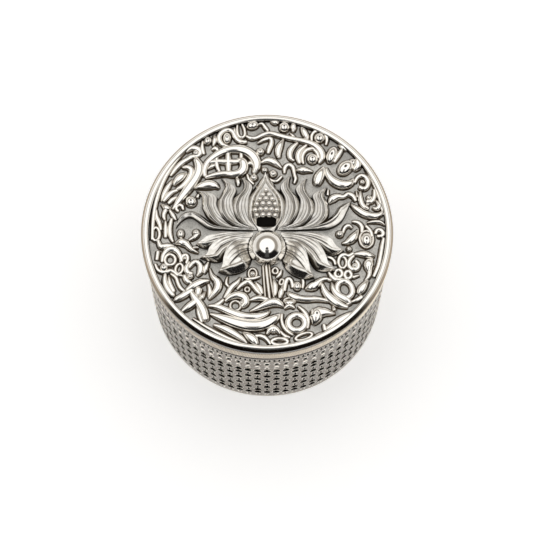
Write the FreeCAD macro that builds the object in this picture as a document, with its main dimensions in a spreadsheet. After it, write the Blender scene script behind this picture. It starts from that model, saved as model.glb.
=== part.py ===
"""Round keepsake box: an openwork drum round a plain liner, and a lift-off lid with a raised lotus.

+Z is up, the origin is the centre of the foot's underside, and -Y is the side
that the lotus stem points to. The drum's pieces stay, and the lid's pieces lift
straight up off the liner, whose upper part is the neck.
"""

import FreeCAD, Part
import Sketcher
import os

Vector = FreeCAD.Vector

SIZES = {
    # across and up
    "rim_radius": 36.0,
    "seam_height": 36.5,
    "lid_rise": 17.0,
    # gaps: between soldered neighbours, at the seam, and of the lid's sliding fit on the neck
    "solder_gap": 0.05,
    "seam_gap": 0.1,
    "slide_clearance": 0.15,
    # drum
    "wall_inset": 0.5,
    "wall_sheet": 0.8,
    "liner_sheet": 0.7,
    "neck_height": 10.0,
    "base_sheet": 0.9,
    "foot_height": 1.6,
    "foot_width": 2.6,
    "foot_inset": 0.3,
    "foot_round": 0.45,
    # openwork in the drum's wall
    "opening_width": 2.4,
    "opening_height": 3.5,
    "top_row_drop": 4.1,
    "bottom_row_rise": 4.7,
    # lid
    "plate_sheet": 0.8,
    "band_height": 4.7,
    "band_rise": 0.7,
    "bead_width": 2.0,
    "bead_height": 1.9,
    "bead_setback": 0.25,
    # lotus on the lid
    "lotus_reach": 25.0,
    "petal_rise": 2.4,
    "petal_gap": 0.12,
    "boss_radius": 5.05,
    "boss_rise": 4.4,
    "boss_offset": 5.25,
    "pod_rise": 0.8,
    "stem_width": 1.7,
    "stem_rise": 1.3,
    # how far a cutting solid reaches past what it cuts
    "overrun": 1.0,
}

# Openings round the drum: one in every column of the top row, and staggered rows below it.
COLUMNS = 56
ROWS = 6

# An opening's corners, as shares of half its width and of its height: a drop with its point up.
OPENING_SHARES = [(0.0, 0.56), (-1.0, -0.1), (0.0, -0.44), (1.0, -0.1)]

# Petals from the top of the pile down, in shares of the lotus's reach: where each is rooted, its tip,
# how far its left and right edges bow out, and its height as a share of the tallest.
PETAL_SHARES = {
    "centre_petal": ((0.0, 0.015), (-0.02, 0.75), 0.24, 0.24, 1.0),
    "upper_petal_left_1": ((-0.1, 0.02), (-0.3, 0.65), 0.2, 0.08, 0.94),
    "upper_petal_right_1": ((0.1, 0.02), (0.28, 0.69), 0.08, 0.2, 0.94),
    "upper_petal_left_2": ((-0.1, 0.02), (-0.53, 0.63), 0.22, 0.06, 0.88),
    "upper_petal_right_2": ((0.1, 0.02), (0.46, 0.65), 0.06, 0.22, 0.88),
    "upper_petal_left_3": ((-0.1, 0.02), (-0.78, 0.48), 0.2, 0.06, 0.82),
    "upper_petal_right_3": ((0.1, 0.02), (0.68, 0.54), 0.06, 0.22, 0.82),
    "side_petal_left": ((-0.1, 0.01), (-1.02, 0.0), 0.03, 0.2, 0.75),
    "side_petal_right": ((0.1, 0.01), (0.98, 0.36), 0.06, 0.2, 0.75),
    "lower_petal_left_1": ((-0.1, -0.2), (-0.54, -0.47), 0.14, 0.08, 0.9),
    "lower_petal_right_1": ((0.1, -0.2), (0.51, -0.52), 0.08, 0.14, 0.9),
    "lower_petal_left_2": ((-0.1, -0.14), (-0.74, -0.31), 0.09, 0.09, 0.84),
    "lower_petal_right_2": ((0.1, -0.14), (0.76, -0.46), 0.09, 0.09, 0.84),
    "lower_petal_left_3": ((-0.1, -0.06), (-0.78, -0.16), 0.07, 0.09, 0.78),
    "lower_petal_right_3": ((0.1, -0.06), (0.85, -0.22), 0.09, 0.07, 0.78),
}

# The seed pod and the stem, in the same shares of the lotus's reach.
POD_SHARES = ((0.0, 0.04), (-0.02, 0.51), 0.16, 0.16)
STEM_TOP_SHARES = (-0.03, -0.4)
STEM_FOOT_SHARES = (0.016, -0.78)
STEM_BOW_SHARE = 0.02
STEM_TAPER_SHARE = 0.8

# A petal's crown: its radius, as a share of the width that it spans.
CROWN_SHARE = 0.85

# The rim bead's section: how high its sides stand, as a share of its height, and how far in its flat
# top starts, as a share of its width.
BEAD_SIDE_SHARE = 0.5
BEAD_TOP_SHARE = 0.28


def size_sheet(doc):
    """The driving sizes, one a row: its name beside its value, which has the name as its alias."""
    sheet = doc.addObject("Spreadsheet::Sheet", "sizes")
    for row, (name, number) in enumerate(SIZES.items(), start=1):
        sheet.set(f"A{row}", name)
        sheet.set(f"B{row}", str(number))
        sheet.setAlias(f"B{row}", name)
    doc.recompute()
    return sheet


def size(name):
    """How an expression names a size."""
    return f"sizes.{name}"


# Radii, from the outside in.
WALL_OUTER = f"({size('rim_radius')} - {size('wall_inset')})"
WALL_INNER = f"({WALL_OUTER} - {size('wall_sheet')})"
LINER_OUTER = f"({WALL_INNER} - {size('solder_gap')})"
LINER_INNER = f"({LINER_OUTER} - {size('liner_sheet')})"
SKIRT_INNER = f"({LINER_OUTER} + {size('slide_clearance')})"
BAND_INNER = f"({WALL_OUTER} + {size('solder_gap')})"
FOOT_OUTER = f"({WALL_OUTER} - {size('foot_inset')})"
FOOT_INNER = f"({FOOT_OUTER} - {size('foot_width')})"
BEAD_OUTER = f"({WALL_OUTER} - {size('bead_setback')})"
BEAD_INNER = f"({BEAD_OUTER} - {size('bead_width')})"

# Heights, from the bottom up.
BASE_BOTTOM = size("foot_height")
BASE_TOP = f"({BASE_BOTTOM} + {size('base_sheet')})"
WALL_TOP = size("seam_height")
NECK_TOP = f"({WALL_TOP} + {size('neck_height')})"
SKIRT_BOTTOM = f"({WALL_TOP} + {size('seam_gap')})"
PLATE_TOP = f"({SKIRT_BOTTOM} + {size('lid_rise')})"
PLATE_BOTTOM = f"({PLATE_TOP} - {size('plate_sheet')})"
BAND_TOP = f"({PLATE_TOP} + {size('band_rise')})"
BAND_BOTTOM = f"({BAND_TOP} - {size('band_height')})"
BEAD_TOP = f"({PLATE_TOP} + {size('bead_height')})"
PETAL_TOP = f"({PLATE_TOP} + {size('petal_rise')})"
POD_TOP = f"({PETAL_TOP} + {size('pod_rise')})"

# The boss is a cap of a sphere: the radius that gives it its width and its rise.
BOSS_SPHERE = f"(({size('boss_radius')} ^ 2 + {size('boss_rise')} ^ 2) / (2 * {size('boss_rise')}))"


def number(doc, expression):
    """An expression's value as it stands."""
    return float(doc.getObject("sizes").evalExpression(expression))


def bind(sketch, constraint, expression):
    index = sketch.addConstraint(constraint)
    sketch.setExpression(f"Constraints[{index}]", expression)


def turned(doc, name, corners):
    """A piece turned about the Z axis, from the corners of its half section: radius and height expressions.

    None for a radius puts that corner on the axis, and None for a height puts it on the ground.
    """
    body = doc.addObject("PartDesign::Body", name)
    body.Label = name
    plane = next(item for item in body.Origin.OriginFeatures if item.Role == "XZ_Plane")
    sketch = body.newObject("Sketcher::SketchObject", f"{name}_section")
    sketch.AttachmentSupport = (plane, "")
    sketch.MapMode = "FlatFace"
    places = [tuple(0.0 if side is None else number(doc, side) for side in corner) for corner in corners]
    count = len(places)
    for index, place in enumerate(places):
        following = places[(index + 1) % count]
        sketch.addGeometry(Part.LineSegment(Vector(*place, 0), Vector(*following, 0)), False)
    for index in range(count):
        sketch.addConstraint(Sketcher.Constraint("Coincident", index, 2, (index + 1) % count, 1))
    for index, (radius, height) in enumerate(corners):
        across, up = places[index]
        if radius is None:
            sketch.addConstraint(Sketcher.Constraint("PointOnObject", index, 1, -2))
        else:
            bind(sketch, Sketcher.Constraint("DistanceX", -1, 1, index, 1, across), radius)
        if height is None:
            sketch.addConstraint(Sketcher.Constraint("PointOnObject", index, 1, -1))
        else:
            bind(sketch, Sketcher.Constraint("DistanceY", -1, 1, index, 1, up), height)
    turn = body.newObject("PartDesign::Revolution", f"{name}_turned")
    turn.Profile = sketch
    turn.ReferenceAxis = (sketch, ["V_Axis"])
    turn.Angle = 360
    return body


def made(doc, name, shape):
    """A piece whose shape is worked out here from the sheet's sizes."""
    piece = doc.addObject("Part::Feature", name)
    piece.Label = name
    piece.Shape = shape
    return piece


def placed_up(piece, expression):
    """Stands a primitive at a height that follows the sheet."""
    piece.setExpression("Placement.Base.z", expression)


def foot_ring(doc):
    """The flat wire under the base, with its outer edges eased."""
    eased = f"({FOOT_OUTER} - {size('foot_round')})"
    return turned(doc, "foot_ring", [
        (FOOT_INNER, None),
        (eased, None),
        (FOOT_OUTER, size("foot_round")),
        (FOOT_OUTER, BASE_BOTTOM),
        (FOOT_INNER, BASE_BOTTOM),
    ])


def base_plate(doc):
    """The disc that closes the drum and carries the wall and the liner."""
    return turned(doc, "base_plate", [
        (None, BASE_BOTTOM),
        (WALL_OUTER, BASE_BOTTOM),
        (WALL_OUTER, BASE_TOP),
        (None, BASE_TOP),
    ])


def body_liner(doc):
    """The plain tube inside the openwork. It stands above the wall as the neck that the lid slides over."""
    return turned(doc, "body_liner", [
        (LINER_INNER, BASE_TOP),
        (LINER_OUTER, BASE_TOP),
        (LINER_OUTER, NECK_TOP),
        (LINER_INNER, NECK_TOP),
    ])


def wall_prism(doc, name, radius):
    """A prism with one flat for each column of openings, its flats a radius from the axis."""
    prism = doc.addObject("Part::Prism", name)
    prism.Polygon = COLUMNS
    prism.setExpression("Circumradius", f"{radius} / cos({180 / COLUMNS} deg)")
    prism.setExpression("Height", f"{WALL_TOP} - {BASE_TOP}")
    placed_up(prism, BASE_TOP)
    return prism


def row_height(doc, row):
    """How high a row of openings lies, from the bottom row to the top one."""
    lowest = number(doc, f"{BASE_TOP} + {size('bottom_row_rise')}")
    highest = number(doc, f"{WALL_TOP} - {size('top_row_drop')}")
    return lowest + (highest - lowest) * row / (ROWS - 1)


def wall_openings(doc):
    """The cutting solids of the openwork: every column in the top row, every other one below it."""
    half = number(doc, size("opening_width")) / 2
    rise = number(doc, size("opening_height"))
    start = number(doc, f"{WALL_INNER} - {size('overrun')}")
    reach = number(doc, f"{size('wall_sheet')} + 2 * {size('overrun')}")
    cutters = []
    for row in range(ROWS):
        middle = row_height(doc, row)
        corners = [Vector(start, across * half, middle + up * rise) for across, up in OPENING_SHARES]
        drop = Part.Face(Part.makePolygon(corners + corners[:1])).extrude(Vector(reach, 0, 0))
        for column in range(COLUMNS):
            if row == ROWS - 1 or (row + column) % 2 == 0:
                cutter = drop.copy()
                cutter.rotate(Vector(), Vector(0, 0, 1), 360 * (column + 0.5) / COLUMNS)
                cutters.append(cutter)
    return made(doc, "wall_openings", Part.makeCompound(cutters))


def body_wall(doc):
    """The openwork sleeve round the liner."""
    tube = doc.addObject("Part::Cut", "wall_tube")
    tube.Base = wall_prism(doc, "wall_outside", f"({WALL_OUTER} * cos({180 / COLUMNS} deg))")
    tube.Tool = wall_prism(doc, "wall_inside", WALL_INNER)
    wall = doc.addObject("Part::Cut", "body_wall")
    wall.Label = "body_wall"
    wall.Base = tube
    wall.Tool = wall_openings(doc)
    return wall


def lid_skirt(doc):
    """The lid's outer wall, from the seam up to the plate. Its bore runs on the neck."""
    return turned(doc, "lid_skirt", [
        (SKIRT_INNER, SKIRT_BOTTOM),
        (WALL_OUTER, SKIRT_BOTTOM),
        (WALL_OUTER, PLATE_TOP),
        (SKIRT_INNER, PLATE_TOP),
    ])


def lid_plate(doc):
    """The lid's top, let into the skirt: the ground that the ornament stands on."""
    edge = f"({SKIRT_INNER} - {size('solder_gap')})"
    return turned(doc, "lid_plate", [
        (None, PLATE_BOTTOM),
        (edge, PLATE_BOTTOM),
        (edge, PLATE_TOP),
        (None, PLATE_TOP),
    ])


def rim_band(doc):
    """The milled strip round the lid's top edge."""
    return turned(doc, "rim_band", [
        (BAND_INNER, BAND_BOTTOM),
        (size("rim_radius"), BAND_BOTTOM),
        (size("rim_radius"), BAND_TOP),
        (BAND_INNER, BAND_TOP),
    ])


def rim_bead(doc):
    """The polished wire that rims the lid, its foot on the skirt and the plate."""
    side = f"({PLATE_TOP} + {size('bead_height')} * {BEAD_SIDE_SHARE})"
    inward = f"{size('bead_width')} * {BEAD_TOP_SHARE}"
    return turned(doc, "rim_bead", [
        (BEAD_INNER, PLATE_TOP),
        (BEAD_OUTER, PLATE_TOP),
        (BEAD_OUTER, side),
        (f"({BEAD_OUTER} - {inward})", BEAD_TOP),
        (f"({BEAD_INNER} + {inward})", BEAD_TOP),
    ])


def leaf_prism(root, tip, left, right, bottom, top):
    """An upright solid on a leaf's outline: two arcs from root to tip, each bowing out to its side."""
    along = tip - root
    side = Vector(-along.y, along.x, 0).normalize()
    middle = (root + tip) / 2
    arcs = [Part.Arc(root, middle + side * left, tip), Part.Arc(tip, middle - side * right, root)]
    face = Part.Face(Part.Wire([arc.toShape() for arc in arcs]))
    face.translate(Vector(0, 0, bottom))
    return face.extrude(Vector(0, 0, top - bottom))


def crowned(prism, root, tip, left, right, top):
    """A leaf's solid with its top rounded across, like a barrel that runs from root to tip."""
    along = tip - root
    side = Vector(-along.y, along.x, 0).normalize()
    radius = CROWN_SHARE * (left + right)
    middle = root - along / 2 + side * (left - right) / 2
    barrel = Part.makeCylinder(radius, along.Length * 2, middle + Vector(0, 0, top - radius), along)
    return prism.common(barrel)


def lotus_point(doc, share):
    reach = number(doc, size("lotus_reach"))
    return Vector(share[0] * reach, share[1] * reach, 0)


def boss_room(doc):
    """An upright cylinder a gap wider than the boss, which its neighbours are cut back by."""
    radius = number(doc, f"{size('boss_radius')} + {size('petal_gap')}")
    foot = Vector(0, -number(doc, size("boss_offset")), number(doc, PLATE_TOP))
    return Part.makeCylinder(radius, number(doc, f"{POD_TOP} - {PLATE_TOP} + {size('overrun')}"), foot)


def petals(doc):
    """The lotus's petals, each cut clear of those above it and of the boss."""
    ground = number(doc, PLATE_TOP)
    reach = number(doc, size("lotus_reach"))
    rise = number(doc, size("petal_rise"))
    gap = number(doc, size("petal_gap"))
    above = [boss_room(doc)]
    pieces = []
    for name, (root_share, tip_share, left_share, right_share, height_share) in PETAL_SHARES.items():
        root = lotus_point(doc, root_share)
        tip = lotus_point(doc, tip_share)
        left = left_share * reach
        right = right_share * reach
        top = ground + height_share * rise
        prism = leaf_prism(root, tip, left, right, ground, top)
        petal = crowned(prism, root, tip, left, right, top).cut(above)
        largest = max(petal.Solids, key=lambda solid: solid.Volume)
        pieces.append(made(doc, name, largest))
        above.append(leaf_prism(root, tip, left + gap, right + gap, ground, ground + 2 * rise))
    return pieces


def seed_pod(doc):
    """The pod, a thick leaf-shaped cap that sits on the centre petal's crown."""
    reach = number(doc, size("lotus_reach"))
    root, tip = (lotus_point(doc, share) for share in POD_SHARES[:2])
    left, right = (share * reach for share in POD_SHARES[2:])
    top = number(doc, POD_TOP)
    prism = leaf_prism(root, tip, left, right, number(doc, PLATE_TOP), top)
    pod = crowned(prism, root, tip, left, right, top)
    pod = pod.cut([doc.getObject("centre_petal").Shape, boss_room(doc)])
    return made(doc, "seed_pod", max(pod.Solids, key=lambda solid: solid.Volume))


def lotus_boss(doc):
    """The ball at the flower's heart: a cap of a sphere, flat where it sits."""
    boss = doc.addObject("Part::Sphere", "lotus_boss")
    boss.Label = "lotus_boss"
    boss.setExpression("Radius", BOSS_SPHERE)
    boss.setExpression("Angle1", f"asin(({BOSS_SPHERE} - {size('boss_rise')}) / {BOSS_SPHERE})")
    boss.setExpression("Placement.Base.y", f"-{size('boss_offset')}")
    placed_up(boss, f"{PLATE_TOP} + {size('boss_rise')} - {BOSS_SPHERE}")
    return boss


def lotus_stem(doc):
    """The stem below the flower, bowed a little and narrowing to its foot."""
    half = number(doc, size("stem_width")) / 2
    bow = Vector(STEM_BOW_SHARE * number(doc, size("lotus_reach")), 0, 0)
    top = lotus_point(doc, STEM_TOP_SHARES)
    foot = lotus_point(doc, STEM_FOOT_SHARES)
    start = Vector(half, 0, 0)
    end = start * STEM_TAPER_SHARE
    middle = (top + foot) / 2 + bow
    width = (start + end) / 2
    edges = [
        Part.Arc(top - start, middle - width, foot - end).toShape(),
        Part.LineSegment(foot - end, foot + end).toShape(),
        Part.Arc(foot + end, middle + width, top + start).toShape(),
        Part.LineSegment(top + start, top - start).toShape(),
    ]
    face = Part.Face(Part.Wire(edges))
    face.translate(Vector(0, 0, number(doc, PLATE_TOP)))
    stem = face.extrude(Vector(0, 0, number(doc, size("stem_rise"))))
    return made(doc, "lotus_stem", stem.cut(boss_room(doc)))


def check(doc, pieces):
    """Stops the build where an object failed or a piece has no valid shape."""
    for item in doc.Objects:
        if "Invalid" in item.State or "Error" in item.State:
            raise RuntimeError(f"{item.Name} failed: {item.State}")
    for piece in pieces:
        if piece.Shape.isNull() or not piece.Shape.isValid():
            raise RuntimeError(f"{piece.Label} has no valid shape")


def main():
    doc = FreeCAD.newDocument("keepsake_box")
    size_sheet(doc)
    drum = [foot_ring(doc), base_plate(doc), body_wall(doc), body_liner(doc)]
    lid = [lid_skirt(doc), lid_plate(doc), rim_band(doc), rim_bead(doc)]
    flower = petals(doc) + [seed_pod(doc), lotus_boss(doc), lotus_stem(doc)]
    doc.recompute()
    pieces = drum + lid + flower
    check(doc, pieces)
    os.makedirs("parts", exist_ok=True)
    for piece in pieces:
        piece.Shape.exportStep(f"parts/{piece.Label}.step")
    print(f"{len(pieces)} pieces")


main()
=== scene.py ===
"""The finish of a round silver keepsake box: a pierced drum, a milled rim and a lid of raised ornament.

Shapes are made in millimetres and turned into metres when a piece is finished. The lid's ornament
is laid out in plan: x to the right, and y away from the side that the lotus's stem points to.
"""

import math

import bmesh
import bpy
from mathutils import Matrix, Vector


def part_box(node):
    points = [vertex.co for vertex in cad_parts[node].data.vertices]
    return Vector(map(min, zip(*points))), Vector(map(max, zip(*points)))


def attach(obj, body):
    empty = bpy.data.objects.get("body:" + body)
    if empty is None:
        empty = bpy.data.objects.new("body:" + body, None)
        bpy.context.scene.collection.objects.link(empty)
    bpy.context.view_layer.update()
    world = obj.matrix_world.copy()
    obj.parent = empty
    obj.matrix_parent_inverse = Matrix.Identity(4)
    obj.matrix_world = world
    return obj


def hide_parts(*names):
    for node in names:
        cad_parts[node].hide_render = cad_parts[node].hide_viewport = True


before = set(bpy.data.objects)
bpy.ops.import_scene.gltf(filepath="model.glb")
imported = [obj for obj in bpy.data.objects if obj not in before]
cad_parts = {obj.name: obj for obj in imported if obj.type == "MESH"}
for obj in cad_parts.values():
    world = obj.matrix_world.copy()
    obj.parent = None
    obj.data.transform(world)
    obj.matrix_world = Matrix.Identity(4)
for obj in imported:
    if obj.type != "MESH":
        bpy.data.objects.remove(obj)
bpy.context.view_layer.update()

MM = 0.001


def reach(node):
    """A CAD node's outer radius, its bottom and its top, in millimetres."""
    low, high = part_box(node)
    return high.x / MM, low.z / MM, high.z / MM


RIM_RADIUS, BAND_BOTTOM, BAND_TOP = reach("rim_band")
SKIRT_RADIUS, SKIRT_BOTTOM, SKIRT_TOP = reach("lid_skirt")
WALL_RADIUS, WALL_BOTTOM, WALL_TOP = reach("body_wall")
LINER_RADIUS = reach("body_liner")[0]
# The top of the lid's plate, from which its ornament rises.
GROUND = reach("lid_plate")[2]
BOSS_LOW, BOSS_HIGH = (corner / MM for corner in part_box("lotus_boss"))
BOSS_RADIUS = (BOSS_HIGH.x - BOSS_LOW.x) / 2
BOSS_MIDDLE = (BOSS_HIGH.y + BOSS_LOW.y) / 2

# The openwork's thickness, and how far the ornament's undersides lie under the ground.
SHEET = 0.75
SINK = 0.3

# The camera, fitted to the circles in the photo: lengths in millimetres, but its clipping in metres.
CAMERA_ELEVATION = math.radians(72.0)
CAMERA_DISTANCE = 522.0
CAMERA_TARGET_HEIGHT = 21.47
PHOTO_SIDE = 533
FOCAL_PIXELS = 1722.0
CENTRE_SHIFT_PIXELS = 0.57
SENSOR = 36.0
CLIP_NEAR = 0.01
CLIP_FAR = 20

# The drum's openwork.
COLUMNS = 80
PIERCED_ROWS = 9
ROW_PITCH = 3.15
FIRST_ROW = 7.2


# Shapes


def smooth_line(points, share):
    """A point on the smooth line through some points, where share runs from 0 to 1."""
    last = len(points) - 1
    place = min(share * last, last - 1e-6)
    index = int(place)
    part = place - index
    before = points[max(index - 1, 0)]
    start = points[index]
    end = points[index + 1]
    after = points[min(index + 2, last)]
    mixed = []
    for p, a, b, n in zip(before, start, end, after):
        curve = (2 * p - 5 * a + 4 * b - n) * part ** 2 + (3 * a - p - 3 * b + n) * part ** 3
        mixed.append(0.5 * (2 * a + (b - p) * part + curve))
    return Vector(mixed)


def ease(low, high, value):
    """0 at low and before it, 1 at high and past it, smooth between. Low may be the larger."""
    share = min(max((value - low) / (high - low), 0.0), 1.0)
    return share * share * (3 - 2 * share)


# How much thicker than in the tables the strands and the rings are made, and the rods' corners and
# steps.
STRAND_SWELL = 1.5
RING_SWELL = 1.2
STRAND_SIDES = 3
STRAND_STEPS = 5
# How far a strand's middle lies above the ground, how much it is stretched upward, and the height
# that its top nears as it gets wider, for strands and for balls.
RELIEF_LIFT = 0.3
RELIEF_RISE = 1.15
STRAND_CAP = 1.9
BALL_CAP = 3.0
# The bed: how much wider than its strand, how high, and the slope of its edge.
BED_SPREAD = 0.27
BED_RISE = 0.07
BED_SLOPE = 0.5
# A ball's height as a share of its width, and how dark the dot on its top is.
DROP_FLATNESS = 0.95
DOT_SHADE = 1.6
# The rounded nose at a strand's end: how far on, and its share of the width there.
NOSE = ((0.55, 0.8), (0.9, 0.35))
LOOP_POINTS = 8


def add_stroke(bm, points, closed=False, spread=0.0):
    """A raised strand of the ornament: a rod along a smooth line of x, y and half width.

    It stands higher where it is wider, and its underside is cut off flat inside the lid's plate.
    With a spread it is the dark bed round the strand instead: wider by that and almost flat.
    """
    line = [Vector(point) for point in points]
    if not closed:
        line = rounded_end(line[::-1])
        line = rounded_end(line[::-1])
    for point in line:
        point.z = point.z * (RING_SWELL if closed else STRAND_SWELL) + spread
    curve = bpy.data.curves.new("strand", "CURVE")
    curve.dimensions = "3D"
    curve.bevel_depth = 1.0
    curve.bevel_resolution = STRAND_SIDES
    curve.resolution_u = STRAND_STEPS
    curve.use_fill_caps = True
    spline = curve.splines.new("NURBS")
    spline.points.add(len(line) - 1)
    for knot, (across, along, half) in zip(spline.points, line):
        knot.co = (across, along, 0.0, 1.0)
        knot.radius = half
    spline.order_u = 3
    spline.use_cyclic_u = closed
    spline.use_endpoint_u = not closed
    strand = bpy.data.objects.new("strand", curve)
    mesh = bpy.data.meshes.new_from_object(strand)
    seat_relief(bm, mesh, spread > 0)
    bpy.data.objects.remove(strand)
    bpy.data.curves.remove(curve)


def rounded_end(line):
    """The line with its last point carried on to a rounded nose."""
    end = line[-1]
    away = (end - line[-2]).xy.normalized()
    nose = []
    for step, share in NOSE:
        place = end.xy + away * step * end.z
        nose.append(Vector((place.x, place.y, end.z * share)))
    return line + nose


def seat_relief(bm, mesh, flat=False, cap=STRAND_CAP):
    """Adds a mesh made round z = 0 to the relief.

    Its top is flattened towards a cap, and its underside is cut off under the ground. A flat mesh
    is a bed, which hardly rises.
    """
    first = len(bm.verts)
    bm.from_mesh(mesh)
    bm.verts.ensure_lookup_table()
    for vert in bm.verts[first:]:
        if flat:
            height = GROUND + min(BED_SLOPE * vert.co.z, BED_RISE)
        else:
            height = GROUND + RELIEF_LIFT + cap * math.tanh(RELIEF_RISE * vert.co.z / cap)
        vert.co.z = max(height, GROUND - SINK)
    bpy.data.meshes.remove(mesh)


def add_drop(bm, across, along, half_width, half_length=None, turn=0.0, spread=0.0):
    """A polished ball or bud of the ornament, longer one way if it has a half length.

    It has a dark dot on its top. With a spread it is the dark bed round the ball instead.
    """
    ball = bmesh.new()
    bmesh.ops.create_uvsphere(ball, u_segments=20, v_segments=12, radius=half_width + spread)
    stretch = ((half_length or half_width) + spread) / (half_width + spread)
    bmesh.ops.scale(ball, vec=(1, stretch, 1), verts=ball.verts)
    spin = Matrix.Rotation(math.radians(turn), 3, "Z")
    bmesh.ops.rotate(ball, cent=(0, 0, 0), matrix=spin, verts=ball.verts)
    bmesh.ops.scale(ball, vec=(1, 1, DROP_FLATNESS), verts=ball.verts)
    bmesh.ops.translate(ball, vec=(across, along, 0), verts=ball.verts)
    mesh = bpy.data.meshes.new("drop")
    ball.to_mesh(mesh)
    ball.free()
    first = len(bm.verts)
    seat_relief(bm, mesh, spread > 0, BALL_CAP)
    if not spread:
        bm.verts.ensure_lookup_table()
        top = max(bm.verts[first:], key=lambda vert: vert.co.z)
        top[bm.verts.layers.float["painted_shade_and_tarnish"]] = DOT_SHADE


def add_loop(bm, across, along, half_width, half_length, wire, turn, spread):
    """A closed ring of the ornament, or the bed round it."""
    spin = Matrix.Rotation(math.radians(turn), 2)
    points = []
    for step in range(LOOP_POINTS):
        angle = math.tau * step / LOOP_POINTS
        place = spin @ Vector((half_width * math.cos(angle), half_length * math.sin(angle)))
        points.append((across + place.x, along + place.y, wire))
    add_stroke(bm, points, closed=True, spread=spread)


def finished(bm, name, body, material, replaced=(), crease=50):
    """Turns a shape in millimetres into a piece of the box."""
    for edge in bm.edges:
        if len(edge.link_faces) == 2 and edge.calc_face_angle() > math.radians(crease):
            edge.smooth = False
    for face in bm.faces:
        face.smooth = True
    bmesh.ops.scale(bm, vec=(MM, MM, MM), verts=bm.verts)
    mesh = bpy.data.meshes.new(name)
    bm.to_mesh(mesh)
    bm.free()
    mesh.materials.append(material)
    piece = bpy.data.objects.new(name, mesh)
    bpy.context.scene.collection.objects.link(piece)
    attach(piece, body)
    if replaced:
        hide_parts(*replaced)
    return piece


def turned(profile, steps):
    """A shape turned round the Z axis from a closed outline of radius and height."""
    bm = bmesh.new()
    verts = [bm.verts.new((radius, 0, height)) for radius, height in profile]
    edges = [bm.edges.new((a, b)) for a, b in zip(verts, verts[1:] + verts[:1])]
    bmesh.ops.spin(
        bm, geom=verts + edges, cent=(0, 0, 0), axis=(0, 0, 1), angle=math.tau, steps=steps, use_merge=True
    )
    bmesh.ops.remove_doubles(bm, verts=bm.verts, dist=1e-4)
    bmesh.ops.recalc_face_normals(bm, faces=bm.faces)
    return bm


def repeated_round(bm, count):
    """Copies a wedge of the box round the Z axis until it closes."""
    geometry = bm.verts[:] + bm.edges[:] + bm.faces[:]
    share = math.tau / count
    bmesh.ops.spin(
        bm,
        geom=geometry,
        cent=(0, 0, 0),
        axis=(0, 0, 1),
        angle=share * (count - 1),
        steps=count - 1,
        use_duplicate=True,
    )
    bmesh.ops.remove_doubles(bm, verts=bm.verts, dist=2e-3)


# How the rolled upper petals and the flatter others differ: the roll's width as a share of the bevel,
# how fast the bevel climbs, how far the tip falls, and the chased lines' depth and darkness.
ROLLED = {"roll": 0.9, "climb": 1.6, "fall": 0.3, "line_depth": 0.032, "line_shade": 0.34}
FLATTER = {"roll": 1.1, "climb": 1.25, "fall": 0.6, "line_depth": 0.055, "line_shade": 0.75}
# A petal that sinks more than this beside its roll is a rolled one.
ROLLED_SINK = 0.5
PETAL_STEPS = 36
PETAL_ROWS = 64
# The bevel at the root as a share of its width, and its most as a share of the petal's.
ROOT_BEVEL = 0.4
WIDEST_BEVEL = 0.42
# The crease beside the roll.
CREASE_DEPTH = 0.25
CREASE_HALF_WIDTH = 0.26
# A petal's height at its root, along it and beside the ball, as shares of its full height.
ROOT_SHARE = 0.3
BESIDE_BALL = 0.3
BALL_REACH = 3.0
LEAST_HEIGHT = 0.15


def petal_swell(along, plunge, fall):
    """How high a petal stands along its length: low at the root, full further on, lower at the tip."""
    return (ROOT_SHARE + (1 - ROOT_SHARE) * ease(0.0, 0.4, along)) * (1 - fall * ease(plunge, 1.0, along))


def chased_share(share, along, width, outer, rolled):
    """How strongly the chased lines are cut: not on the roll, and less towards the root and the tip."""
    lined = ease(0.0, 0.12, share) * ease(1.0, 0.9, share) if outer else ease(0.0, 0.2, share)
    if outer and not rolled:
        lined *= ease(0.1, 0.35, share) * ease(0.7, 0.35, along)
    return lined * ease(0.5, 1.8, width) * ease(0.0, 0.06, along) * ease(0.86, 0.6, along)


def crease_share(from_outer, roll, along, width, rolled):
    """How strongly the crease is cut: beside the roll, or down the middle of a flatter petal."""
    middle = roll + 0.1 if rolled else width * 0.5
    crease = max(1 - abs(from_outer - middle) / CREASE_HALF_WIDTH, 0.0) * ease(0.9, 1.8, width)
    return crease * ease(0.02, 0.1, along) * (ease(0.97, 0.85, along) if rolled else ease(0.72, 0.5, along))


def edge_painted_shadow(from_outer, from_inner, from_boss, along, outer, rolled):
    """The painted shadow line round a petal's edges and round the ball, widest near a rolled petal's root.
    """
    root = ease(0.02, 0.1, along) * ease(0.6, 0.25, along) if rolled and outer else 0.0
    outer_line = ease(0.22 + 0.6 * root, 0.05 + 0.3 * root, from_outer)
    inner_line = ease(0.32, 0.08, from_inner) if outer else 0.0
    ball_line = ease(BALL_RADIUS + 0.6, BALL_RADIUS + 0.25, from_boss)
    return max(outer_line, inner_line, ball_line)


def hollow_painted_shade(from_outer, roll, along):
    """The painted shade of a rolled petal's hollow and of its tip."""
    hollow = 0.36 * ease(roll, roll + 0.5, from_outer) * ease(0.02, 0.2, along)
    tip = 0.16 * ease(0.66, 0.84, along) * ease(0.3, 0.7, from_outer)
    return max(hollow, tip)


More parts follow.
